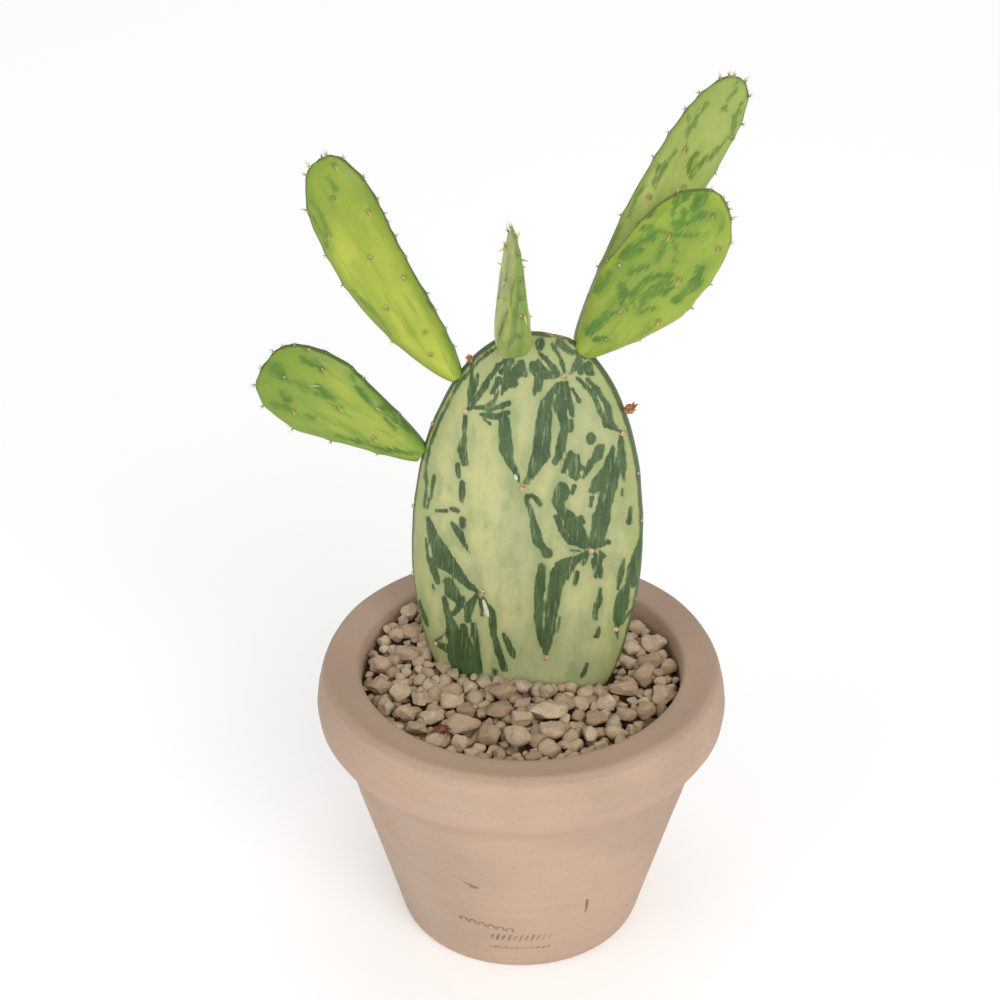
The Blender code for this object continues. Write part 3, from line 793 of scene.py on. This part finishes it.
def dressPad(name):
    shape = padShapes[name]
    old = name == "mother_pad"
    woolMesh, bristleMesh, leafMesh = bmesh.new(), bmesh.new(), bmesh.new()
    tipLayer = leafMesh.verts.layers.float.new("tip")
    for point, out, kind in cushionPlaces(name):
        if old and point.z < cushionLook["bareBelow"]:
            continue
        high = point.z / padLength(shape)
        small = kind == "rim"
        size = (1.75 if old else 0.9) * rng.uniform(0.85, 1.15) * (0.75 if small else 1)
        sunk = point + out * (0.2 if old else 0.15)
        addWool(woolMesh, sunk, out, size)
        side = out.orthogonal().normalized()
        for number in range(cushionLook["bristles"] + (3 if high > 0.8 else 0)):
            toSide = Matrix.Rotation(rng.uniform(0, fullTurn), 3, out) @ side
            direction = (out + toSide * rng.uniform(0.15, 0.9)).normalized()
            long = rng.uniform(*cushionLook["bristleLength"]) * (0.8 if old else 1 + 0.5 * high)
            root = sunk + toSide * rng.uniform(0.05, 0.45) * size
            addBristle(bristleMesh, root, direction, long, cushionLook["bristleRadius"])
        if old:
            continue
        if small and rng.random() < 0.55:
            # a few firmer spikes
            for number in range(rng.randint(1, 3)):
                toSide = Matrix.Rotation(rng.uniform(0, fullTurn), 3, out) @ side
                direction = (out + toSide * 0.45 + Vector((0, 0, 0.3))).normalized()
                long = rng.uniform(*cushionLook["spikeLength"])
                addBristle(bristleMesh, sunk, direction, long, cushionLook["spikeRadius"])
        if rng.random() < {"face": 0.3 + 0.6 * high, "rim": 0.1 + 0.4 * high**3, "back": 0.4}[kind]:
            long = rng.uniform(*cushionLook["leafLength"]) * (0.5 + 0.5 * high) * (0.7 if small else 1)
            up = Vector((0, 0, 1 if small else -1))
            start = (out + up * rng.uniform(0.1, 0.6)).normalized()
            thick = cushionLook["leafRadius"] * rng.uniform(0.8, 1.1) * (0.7 if small else 1)
            base = sunk + up * 0.3
            first = len(leafMesh.verts)
            addLeaf(leafMesh, base, start, up * 0.5, long, thick)
            leafMesh.verts.ensure_lookup_table()
            for vert in leafMesh.verts[first:]:
                vert[tipLayer] = (vert.co - base).length / long
    for bm, label, material, slotName in (
        (woolMesh, "_cushions", wool, padSlot(name)),
        (bristleMesh, "_bristles", bristle, padSlot(name)),
        (leafMesh, "_leaves", leafGreen, "leaf"),
    ):
        if bm.verts:
            moveAll(bm, padPlace(shape))
            makePiece(name + label, bm, material)


for padName in padShapes:
    dressPad(padName)

# the middle pad's own leaves stand where its cushions are

middleLeaves = {
    # up the pad, round it in degrees, how much it rises
    "places": (
        (0.97, 60, 1.3), (0.97, 235, 1.3), (0.90, 100, 0.1), (0.80, 75, 0), (0.72, 105, -0.2),
        (0.69, 262, 0), (0.47, 275, 0.05), (0.46, 5, -0.5),
    ),
    "length": 3.7, "radius": 0.5,
}


def buildMiddleLeaves():
    shape = padShapes["pad_middle"]
    for number, (t, degrees, rise) in enumerate(middleLeaves["places"], start=1):
        root = skinPoint(shape, t, math.radians(degrees))
        out = ((root - Vector((0, 0, root.z))).normalized() + Vector((0, 0, rise))).normalized()
        droop = Vector((0, 0, 0.6 if rise >= 0 else -0.3))
        bm = bmesh.new()
        tipLayer = bm.verts.layers.float.new("tip")
        addLeaf(bm, root - out * 0.4, out, droop, middleLeaves["length"], middleLeaves["radius"])
        for vert in bm.verts:
            vert[tipLayer] = (vert.co - root).length / middleLeaves["length"]
        moveAll(bm, padPlace(shape))
        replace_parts(makePiece(f"curved_leaf_{number}", bm, leafGreen), f"leaf_{number}")


buildMiddleLeaves()
print("cushions, bristles and leaves set")


# scars, crust and withered buds

def flakeMaterial(name, first, second, rough):
    return grainyMaterial(name, rough, (first, second), (1.2, 3), 4, (0.7, 0.4 * mm))


scarWhite = flakeMaterial("pale_scar", (214, 208, 186), (240, 236, 222), 0.7)
crustBrown = flakeMaterial("dry_crust", (112, 84, 58), (210, 184, 148), 0.9)
fallenBrown = flakeMaterial("fallen_bud_brown", (84, 44, 32), (158, 104, 76), 0.85)
budBrown = flakeMaterial("withered_bud_brown", (140, 84, 54), (220, 168, 122), 0.85)

scars = {
    # the pad, both ends of each pale scar across and up it, and its half width
    "scar_long": ("mother_pad", (-15.4, 76.6), (-13.2, 69), 1),
    "scar_small": ("mother_pad", (-6, 130), (-5.2, 127.6), 0.7),
    "scar_dot": ("mother_pad", (12.3, 102.6), (12.5, 101.4), 0.35),
    "scar_line": ("pad_lower_left", (3.1, 48), (5, 45), 0.16),
}


def buildScar(name, pad, start, end, wide):
    shape = padShapes[pad]
    centre, out = skinAt(shape, 0.5 * (start[0] + end[0]), 0.5 * (start[1] + end[1]), -1)
    first, last = (skinAt(shape, *place, -1)[0] for place in (start, end))
    along = (last - first).normalized()
    across = along.cross(out).normalized()
    half = 0.5 * (last - first).length
    bm = bmesh.new()
    for vert in addBall(bm, 20, 14):
        x, y, z = vert.co
        flat = x * wide * (0.6 + 0.4 * (0.55 + 0.45 * z))
        high = (y * 0.4 + 0.25) * min(wide + 0.3, 1)
        vert.co = centre + along * z * half + across * flat + out * high
    moveAll(bm, padPlace(shape))
    makePiece(name, bm, scarWhite)


for scarName, details in scars.items():
    buildScar(scarName, *details)

crustLook = {"flakes": 70, "size": (0.3, 0.7), "angles": (-0.5, 0.15), "down": 0.010}


def buildCrust():
    # a dry crust along the old pad's top margin, to the right of the middle pad
    shape = padShapes["mother_pad"]
    bm = bmesh.new()
    draw = random.Random(5)
    for number in range(crustLook["flakes"]):
        t = 0.9985 - crustLook["down"] * draw.random() ** 1.6
        point = skinPoint(shape, t, draw.uniform(*crustLook["angles"]))
        size = draw.uniform(*crustLook["size"])
        turn = Matrix.Rotation(draw.uniform(0, 3), 4, "Z")
        place = Matrix.Translation(point) @ turn @ Matrix.Diagonal((1.5, 0.8, 0.5, 1))
        for vert in addKnob(bm, size, place):
            vert.co += anyWay(draw, 0.12)
    moveAll(bm, padPlace(shape))
    makePiece("top_margin_crust", bm, crustBrown)


buildCrust()

buds = {
    # middle, direction, radius and length in millimetres from the pot's foot centre
    "withered_bud_right": ((36.6, 0.2, 213.2), (0.72, -0.1, 0.68), 1.9, 4.2),
    "withered_bud_left": ((-17.4, 10, 226.8), (-0.45, -0.1, 0.88), 1.6, 3.6),
    "withered_bud_fallen": ((-29, -35, 102), (0.9, 0.3, 0.15), 2.1, 6),
}
budFlakes = 22


def buildBud(name, middle, direction, radius, long):
    # a crumpled core with curled flakes round it
    draw = random.Random(len(name))
    bm = bmesh.new()
    for vert in addBall(bm, 20, 14):
        share = 0.5 * (1 + vert.co.z)
        fold = 1 + 0.22 * math.sin(7 * math.atan2(vert.co.y, vert.co.x) + 3 * share)
        lump = 1 + 0.25 * noise.noise(vert.co * 2.3)
        wide = radius * fold * lump * (0.6 + 0.35 * share)
        vert.co = Vector((vert.co.x * wide, vert.co.y * wide, vert.co.z * 0.45 * long))
    stretch = Matrix.Translation((0, 0, radius * 0.55)) @ Matrix.Diagonal((0.35, 0.12, 1, 1))
    for number in range(budFlakes):
        turn = Matrix.Rotation(number * 2.4, 4, "Z") @ Matrix.Rotation(draw.uniform(0.2, 1.5), 4, "X")
        size = draw.uniform(0.5, 0.9) * radius
        shift = Matrix.Translation((0, 0, draw.uniform(-0.1, 0.35) * long))
        for vert in addKnob(bm, size, shift @ turn @ stretch):
            vert.co += anyWay(draw, 0.07)
    place = Matrix.Translation((Vector(middle) + Vector((potX, 0, 0))) * mm)
    moveAll(bm, place @ facing(direction) @ Matrix.Scale(mm, 4))
    skin = fallenBrown if name.endswith("fallen") else budBrown
    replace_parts(makePiece(name + "_dried", bm, skin), name)


for budName, details in buds.items():
    buildBud(budName, *details)
print("scars, crust and buds set")


# the pot

potLook = {
    "steps": 150, "frontFrom": -34, "frontTo": 32, "uneven": 0.22, "rings": 0.04,
    "stampRadius": 49, "stampDepth": 0.36, "stampLine": 0.34, "woundRadius": 52, "woundDepth": 0.45,
    "fineStep": 0.5, "coarseStep": 1.7, "fineFrom": 4, "fineTo": 56,
}

# the wall as radius and height, from the mouth's inner edge out, down, under and up inside
potOutline = (
    (59.3, 106.8), (59.7, 107.7), (60.8, 108.1), (66.5, 108.3), (69.2, 108.6), (70.3, 108.7), (71.1, 108.4),
    (71.5, 107.6), (71.6, 106.8), (72.3, 106.3), (73.3, 103.6), (74.4, 98.5), (75, 93.1), (74.4, 88.5),
    (72.2, 84.6), (69.8, 82.9), (68.4, 82.6), (67.6, 81.9), (67.2, 80.6), (65.3, 74), (62, 61), (59.1, 51),
    (56, 40), (53, 29), (50, 18), (46.9, 6.5), (46.2, 4), (45.4, 1.6), (44.6, 0.4), (43.4, 0), (38, 0),
    (24, 0.2), (9.2, 0), (8.3, 0.3), (8, 1.2), (8, 8.4), (8.4, 9.2), (9.4, 9.5), (34, 9.5), (36.4, 10.2),
    (37.5, 12.5), (41.6, 26), (45.5, 40), (50.8, 58), (56, 76), (57.8, 84), (58.5, 90), (58.7, 98),
    (58.8, 104),
)
bodyPoints = slice(28, 11, -1)  # the outside of the wall among them, upward


def finerOutline(points):
    # the same outline in short steps, shortest where the stamp is
    fine = []
    for (r0, z0), (r1, z1) in zip(points, points[1:] + points[:1]):
        stamped = z1 < z0 and potLook["fineFrom"] <= 0.5 * (z0 + z1) <= potLook["fineTo"]
        step = potLook["fineStep"] if stamped else potLook["coarseStep"]
        count = max(1, round(math.hypot(r1 - r0, z1 - z0) / step))
        fine += [(r0 + (r1 - r0) * n / count, z0 + (z1 - z0) * n / count) for n in range(count)]
    return fine


def stampStrokes():
    # a plain border: scallops, slanted ticks and a row of dashes,
    # as distance round from the front and height in millimetres
    line = potLook["stampLine"]
    strokes = []
    for number in range(6):
        middle, level = -20.5 + 3.3 * number, 25.5 - 0.55 * number
        arc = [math.radians(degrees) for degrees in range(-20, 220, 30)]
        strokes.append([(middle + 1.2 * math.cos(a), level + 1.5 * math.sin(a), line) for a in arc])
    for number in range(11):
        middle, tall = -11 + 2.1 * number, 1.7 if number % 2 else 1.2
        strokes.append([(middle, 18.2 - tall, line), (middle + 0.9, 18.2 + tall, line)])
    for number in range(12):
        middle = -12 + 2 * number
        strokes.append([(middle, 11.6, line), (middle + 0.9, 11.9 + 0.4 * (number % 2), line)])
    return strokes


potWounds = (
    # a scratch, a shorter one below it and a gouge: round from the front, height, half width
    ((-18.8, 49, 0.2), (-16.4, 47.9, 0.35), (-14.2, 47.4, 0.25)),
    ((-17.4, 46.9, 0.2), (-15, 46.7, 0.2)),
    ((23.6, 35.8, 0.5), (24, 31.5, 0.4), (24, 28.5, 0.15)),
)


def turnedPot():
    # the outline turned about the axis in two spins, with more steps on the front
    bm = bmesh.new()
    points = [bm.verts.new((radius, 0, height)) for radius, height in finerOutline(potOutline)]
    edges = [bm.edges.new(pair) for pair in zip(points, points[1:] + points[:1])]
    start, end = (math.radians(potLook[key] - 90) for key in ("frontFrom", "frontTo"))
    bmesh.ops.rotate(bm, verts=points, cent=(0, 0, 0), matrix=Matrix.Rotation(start, 3, "Z"))
    about = {"cent": (0, 0, 0), "axis": (0, 0, 1), "steps": potLook["steps"], "use_merge": False}
    front = bmesh.ops.spin(bm, geom=points + edges, angle=end - start, **about)
    bmesh.ops.spin(bm, geom=front["geom_last"], angle=fullTurn - (end - start), **about)
    bmesh.ops.remove_doubles(bm, verts=bm.verts, dist=0.01)
    bmesh.ops.recalc_face_normals(bm, faces=bm.faces)
    return bm


def buildPot():
    made = makePiece("thrown_pot", turnedPot(), clayMaterial())
    co = pointsOf(made.data)
    x, y, height = co.T
    radius = np.hypot(x, y)
    aroundAxis = np.arctan2(x, -y)
    wallRadius, wallHeight = zip(*potOutline[bodyPoints])
    fromWall = radius - np.interp(height, wallHeight, wallRadius)
    outside = smoothStep(fromWall, -1.5, -0.5) * (height < 82)
    arc = aroundAxis * potLook["stampRadius"]
    press = (1 - smoothStep(strokeDistance(arc, height, stampStrokes()), -0.15, 0.3)) * outside
    worn = 0.75 + 0.5 * cellNoise(np.stack((arc, height, height * 0), -1), 0.18)
    wounds = strokeDistance(aroundAxis * potLook["woundRadius"], height, potWounds)
    wounds = (1 - smoothStep(wounds, -0.2, 0.25)) * outside
    uneven = cellNoise(co, 0.03, 3) * potLook["uneven"]
    rings = np.sin(height * 1.9 + 3 * cellNoise(co, 0.02)) * potLook["rings"] * outside
    change = uneven + rings - press * worn * potLook["stampDepth"] - wounds * potLook["woundDepth"]
    co[:, :2] *= (1 + change / np.maximum(radius, 8))[:, None]
    co[:, 2] += cellNoise(co, 0.04, 9) * 0.15 * smoothStep(height, 60, 105)
    setPoints(made.data, co * mm + (potX * mm, 0, 0))
    # the pressed depth of the stamp and scratches, which the clay paints darker as shade in the grooves
    floatAttribute(made.data, "press", np.maximum(press * worn, wounds * 1.4))
    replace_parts(made, "pot")


def clayMaterial():
    made, shader = newMaterial("pot_clay_fired", 0.88, 0.25)
    place = objectPlace(shader)
    across, back, up = addNode(place, "ShaderNodeSeparateXYZ", {0: place}).outputs
    rings = fade(noiseAt(place, 0.35, (0.06, 0.06, 1), 3), 0.3, 0.7)
    cloudy = fade(noiseAt(place, 0.045, (1, 1, 1.6), 4, 0.6), 0.45, 0.75)
    leftSide = fade(across, -45, 5, 1, 0.15)
    specks = fade(noiseAt(place, 1.3), 0.67, 0.72, 0, 0.6)
    fine = noiseAt(place, 3, detail=4, rough=0.65)
    clay = mix(fade(noiseAt(place, 0.02, detail=3), 0.35, 0.65), (190, 165, 145), (203, 175, 153))
    for share, tone in (
        (calc("MULTIPLY", rings, 0.22), (176, 149, 129)),
        # a greyish bloom on the left below the collar
        (calc("MULTIPLY", calc("MULTIPLY", cloudy, leftSide), 0.85), (186, 174, 160)),
        # scuffs, specks and pits
        (fade(noiseAt(place, 0.5, (1, 1, 2.2), 5, 0.7), 0.64, 0.74, 0, 0.5), (214, 192, 166)),
        (specks, (140, 112, 92)),
        (fade(fine, 0.3, 0.8, 0, 0.25), (168, 138, 116)),
        # a pinkish lower half of the collar, and painted shade as a dark line in the recess where it meets
        # the body
        (calc("MULTIPLY", fade(up, 83.5, 86), fade(up, 91, 93.5, 0.4, 0)), (200, 168, 152)),
        (calc("MULTIPLY", fade(up, 81.4, 82.4), fade(up, 82.9, 84.2, 0.35, 0)), (140, 112, 92)),
        # the stamp and the scratches darker, as painted shade in their pressed grooves, then the top ring
        # and the mouth, a little darker and browner
        (fade(attribute(shader, "press"), 0.12, 0.95, 0, 0.68), (108, 84, 66)),
        (fade(up, 105, 108.5, 0, 0.35), (158, 130, 108)),
    ):
        clay = mix(share, clay, tone)
    height = calc("MULTIPLY_ADD", fine, 0.5, fade(specks, 0, 0.6, 0, -1))
    coat(shader, clay, calc("MULTIPLY_ADD", rings, 0.6, height), 0.35, 0.5 * mm)
    return made


buildPot()
print("pot thrown")


# gravel and the mix beneath

gravelLook = {
    "bedTop": 98.2, "fill": 540, "small": (3, 6.4), "edge": 58.2, "tries": 16000, "greyStones": (7, 16),
    # the lower stones and the dark bed under them are painted shade in the gaps
    "lower": 420, "lowerSize": (4, 6), "lowerDown": 2.8, "shadeBedDown": 1.8, "shadeBedThick": 3,
    # how far back left and back right the gravel is heaped: x, y, reach and height
    "heaps": ((-38, 34, 30, 6.2), (40, 28, 22, 1.8)),
}


def mound(x, y):
    return sum(high * math.exp(-((x - a) ** 2 + (y - b) ** 2) / reach**2)
               for a, b, reach, high in gravelLook["heaps"])


def stoneMaterial():
    made, shader = newMaterial("pumice_gravel", 0.92, 0.2)
    place = objectPlace(shader)
    tone = attribute(shader, "tone")
    grain = noiseAt(place, 2.4, detail=5, rough=0.7)
    base = mix(tone, (180, 154, 126), (228, 206, 176))
    for share, over in (
        (fade(tone, 0.955, 0.97, 0, 0.7), (198, 182, 158)),
        (fade(noiseAt(place, 0.35, detail=4, rough=0.6), 0.35, 0.7, 0, 0.5), (186, 160, 130)),
        (fade(grain, 0.5, 0.66, 0, 0.55), (128, 100, 78)),
        (fade(grain, 0.42, 0.25, 0, 0.45), (222, 200, 172)),
    ):
        base = mix(share, base, over)
    pits = noiseAt(place, 0.9, detail=3, rough=0.6)
    coat(shader, base, calc("MULTIPLY_ADD", pits, 1.2, grain), 0.6, 0.7 * mm)
    return made


gravel = stoneMaterial()
soilTones = ((52, 38, 28), (104, 80, 58))
mixSoil = grainyMaterial("potting_mix_dark", 0.95, soilTones, (0.8, 0.8), 5, (0.8, 1.2 * mm), rough=0.7)
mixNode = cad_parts["potting_mix"]
mixNode.data.materials.clear()
mixNode.data.materials.append(mixSoil)

stoneLook = {
    # flats that cut the ball, how far from its middle, then roughness as scale and share
    "flats": 11, "cut": (0.27, 0.43), "lumps": (3, 0.16), "finer": ((9, 0.05), (22, 0.03)), "swell": 1.22,
}


def addStone(bm, size, degrees, level, draw, middle, tone=None):
    # a ball cut by flats, then roughened, long by deep by high millimetres about its middle
    stone = bmesh.new()
    toneLayer = stone.verts.layers.float.new("tone")
    bmesh.ops.create_icosphere(stone, subdivisions=level, radius=0.5)
    flats = []
    for number in range(stoneLook["flats"]):
        direction = Vector([draw.gauss(0, 1) for axis in range(3)]).normalized()
        flats.append((direction, draw.uniform(*stoneLook["cut"])))
    seed = anyWay(draw, 50)
    turn = Matrix.Rotation(math.radians(degrees), 3, "Z") @ Matrix.Rotation(draw.uniform(-0.3, 0.3), 3, "X")
    tone = draw.random() if tone is None else tone
    for vert in stone.verts:
        spot = vert.co.copy()
        for direction, distance in flats:
            over = spot.dot(direction) - distance
            if over > 0:
                spot -= direction * over * 0.96
        for scale, share in (stoneLook["lumps"], *(stoneLook["finer"] if level > 2 else ())):
            spot *= 1 + share * noise.noise(spot * scale + seed)
        vert.co = turn @ Vector((spot.x * size[0], spot.y * size[1], spot.z * size[2])) * stoneLook["swell"]
        vert[toneLayer] = tone
    mesh = bpy.data.meshes.new("stone")
    stone.to_mesh(mesh)
    stone.free()
    mesh.transform(Matrix.Translation(middle))
    bm.from_mesh(mesh)
    bpy.data.meshes.remove(mesh)


def potPiece(name, bm, material):
    # a piece drawn in millimetres about the pot's axis
    moveAll(bm, Matrix.Translation((potX * mm, 0, 0)) @ Matrix.Scale(mm, 4))
    return makePiece(name, bm, material)


def buildLooseStones():
    # the larger stones stand for the model's own, each in its place
    taken = []
    draw = random.Random(23)
    for number in range(1, 37):
        name = f"pumice_stone_{number:02d}"
        low, high = (Vector(corner) * 1000 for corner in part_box(name))
        middle = 0.5 * (low + high) - Vector((potX, 0, 0))
        size = high - low
        bm = bmesh.new()
        tone = 0.97 if number in gravelLook["greyStones"] else draw.uniform(0, 0.92)
        addStone(bm, size * 1.02, draw.uniform(-12, 12), 4, draw, middle, tone)
        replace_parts(potPiece(f"loose_stone_{number:02d}", bm, gravel), name)
        taken.append((middle.x, middle.y, 0.25 * (size.x + size.y)))
    return taken


def inPad(x, y, spare):
    # whether a point lies in the old pad where the gravel meets it
    shape = padShapes["mother_pad"]
    local = padPlace(shape).inverted() @ (Vector((x + potX, y, 99)) * mm)
    t = np.float64(local.z / padLength(shape))
    wide = float(halfWidth(shape, t)) + spare
    deep = float(halfDepth(shape, t)) + spare
    return abs(local.x / wide) ** 2.4 + abs(local.y / deep) ** 2.4 < 1


def anyPlace(draw, wide):
    # somewhere inside the mouth for a stone this wide
    radius = math.sqrt(draw.random()) * (gravelLook["edge"] - 0.5 * wide)
    angle = draw.uniform(0, fullTurn)
    return radius * math.cos(angle), radius * math.sin(angle)


def buildGravelFill(taken):
    # smaller stones fill the space between them and go down into the gaps
    draw = random.Random(31)
    bm = bmesh.new()
    placed = list(taken)
    for attempt in range(gravelLook["tries"]):
        if len(placed) - len(taken) >= gravelLook["fill"]:
            break
        late = attempt / gravelLook["tries"]
        wide = draw.uniform(*gravelLook["small"]) * (1.15 - 0.45 * late)
        x, y = anyPlace(draw, wide)
        if inPad(x, y, 0.35 * wide):
            continue
        room = 0.5 * wide
        if any((x - a) ** 2 + (y - b) ** 2 < ((room + c) * 0.78) ** 2 for a, b, c in placed):
            continue
        placed.append((x, y, room))
        deep, tall = wide * draw.uniform(0.75, 1), wide * draw.uniform(0.6, 0.85)
        z = gravelLook["bedTop"] + mound(x, y) + draw.uniform(0.1, 0.42) * tall
        addStone(bm, (wide, deep, tall), draw.uniform(0, 180), 3, draw, (x, y, z))
    for number in range(gravelLook["lower"]):
        # a lower layer of stones in the darkest tones, painted shade where they are seen between the others
        wide = draw.uniform(*gravelLook["lowerSize"])
        x, y = anyPlace(draw, wide)
        if not inPad(x, y, 0.2 * wide):
            z = gravelLook["bedTop"] + mound(x, y) - gravelLook["lowerDown"]
            tone = draw.uniform(0, 0.12)
            addStone(bm, (wide, wide, 4), draw.uniform(0, 180), 2, draw, (x, y, z), tone)
    potPiece("gravel_fill", bm, gravel)
    return len(placed) - len(taken)


def buildGravelBed():
    # a dark bed under the stones, in the potting mix's colour as painted shade in the gaps between them
    bm = bmesh.new()
    bmesh.ops.create_circle(bm, cap_ends=False, segments=72, radius=58)
    rim = list(bm.edges)
    for radius in range(52, 0, -6):
        ring = bmesh.ops.extrude_edge_only(bm, edges=rim)["geom"]
        for item in ring:
            if isinstance(item, bmesh.types.BMVert):
                item.co = item.co.normalized() * radius
        rim = [item for item in ring if isinstance(item, bmesh.types.BMEdge)
               and all(abs(vert.co.length - radius) < 0.01 for vert in item.verts)]
    bmesh.ops.contextual_create(bm, geom=rim)
    for vert in bm.verts:
        vert.co.z = gravelLook["bedTop"] - gravelLook["shadeBedDown"] + mound(vert.co.x, vert.co.y)
        vert.co.z += noise.noise(vert.co * 0.35) * 0.8
    bmesh.ops.solidify(bm, geom=list(bm.faces), thickness=gravelLook["shadeBedThick"])
    bmesh.ops.recalc_face_normals(bm, faces=bm.faces)
    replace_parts(potPiece("gravel_gap_shade_bed", bm, mixSoil), "gravel_bed")


takenPlaces = buildLooseStones()
fillCount = buildGravelFill(takenPlaces)
buildGravelBed()
print("gravel laid:", len(takenPlaces), "loose stones and", fillCount, "in the fill")


# floor, light and camera

studio = {
    "floorSize": 30, "floorDown": 0.0002, "floorTone": 0.93, "skyStrength": 0.5,
    "floorGlow": (0.23, 0.36), "glowAway": (-400, 1500),  # how bright, and between which distances back
    # each lamp's place, the height it looks at, its size and power
    "lamps": {
        "key": ((0.6, -1.5, 1.2), 0.12, (1.2, 1), 16),
        "fill": ((-1.3, -1, 1), 0.12, (1.2, 1.2), 4.4),
        "top": ((0.1, 0.5, 1.6), 0.15, (1.2, 1), 3),
    },
    "camera": (0.00022, -0.75106, 0.6354), "tilt": 58.588, "lens": 90,
}


def buildFloor():
    bm = bmesh.new()
    below = Matrix.Translation((0, 0, -studio["floorDown"]))
    bmesh.ops.create_grid(bm, x_segments=8, y_segments=8, size=studio["floorSize"], matrix=below)
    mesh = bpy.data.meshes.new("studio_floor")
    bm.to_mesh(mesh)
    bm.free()
    floor = bpy.data.objects.new("studio_floor", mesh)
    bpy.context.scene.collection.objects.link(floor)
    paper, shader = newMaterial("floor_paper", 0.9, 0.1)
    place = objectPlace(shader)
    coat(shader, mix(noiseAt(place, 0.0004), [studio["floorTone"]] * 3 + [1], [0.95, 0.95, 0.95, 1]))
    shader.inputs["Emission Color"].default_value = (1, 1, 1, 1)
    away = addNode(place, "ShaderNodeSeparateXYZ", {0: place}).outputs[1]
    glow = fade(away, *studio["glowAway"], *studio["floorGlow"])
    shader.id_data.links.new(glow, shader.inputs["Emission Strength"])
    mesh.materials.append(paper)


def buildSky():
    world = bpy.data.worlds.new("studio_sky")
    world.use_nodes = True
    sky = world.node_tree.nodes["Background"]
    sky.inputs["Color"].default_value = (1, 1, 1, 1)
    seen = addNode(sky, "ShaderNodeLightPath", {}).outputs["Is Camera Ray"]
    strength = fade(seen, 0, 1, studio["skyStrength"], 1)
    world.node_tree.links.new(strength, sky.inputs["Strength"])
    bpy.context.scene.world = world


def buildLamp(name, place, lookHeight, size, power):
    light = bpy.data.lights.new(name, "AREA")
    light.shape = "RECTANGLE"
    light.size, light.size_y = size
    light.energy = power
    lamp = bpy.data.objects.new(name, light)
    lamp.location = place
    lamp.rotation_euler = (Vector((0, 0, lookHeight)) - Vector(place)).to_track_quat("-Z", "Y").to_euler()
    bpy.context.scene.collection.objects.link(lamp)


def buildCamera():
    scene = bpy.context.scene
    lens = bpy.data.cameras.new("camera")
    lens.lens = studio["lens"]
    lens.sensor_width = 36
    lens.clip_start, lens.clip_end = 0.05, 100
    camera = bpy.data.objects.new("camera", lens)
    camera.location = studio["camera"]
    camera.rotation_euler = (math.radians(studio["tilt"]), 0, 0)
    scene.collection.objects.link(camera)
    scene.camera = camera
    scene.view_settings.view_transform = "Standard"


buildFloor()
buildSky()
for lampName, details in studio["lamps"].items():
    buildLamp(lampName, *details)
buildCamera()
print("studio set")
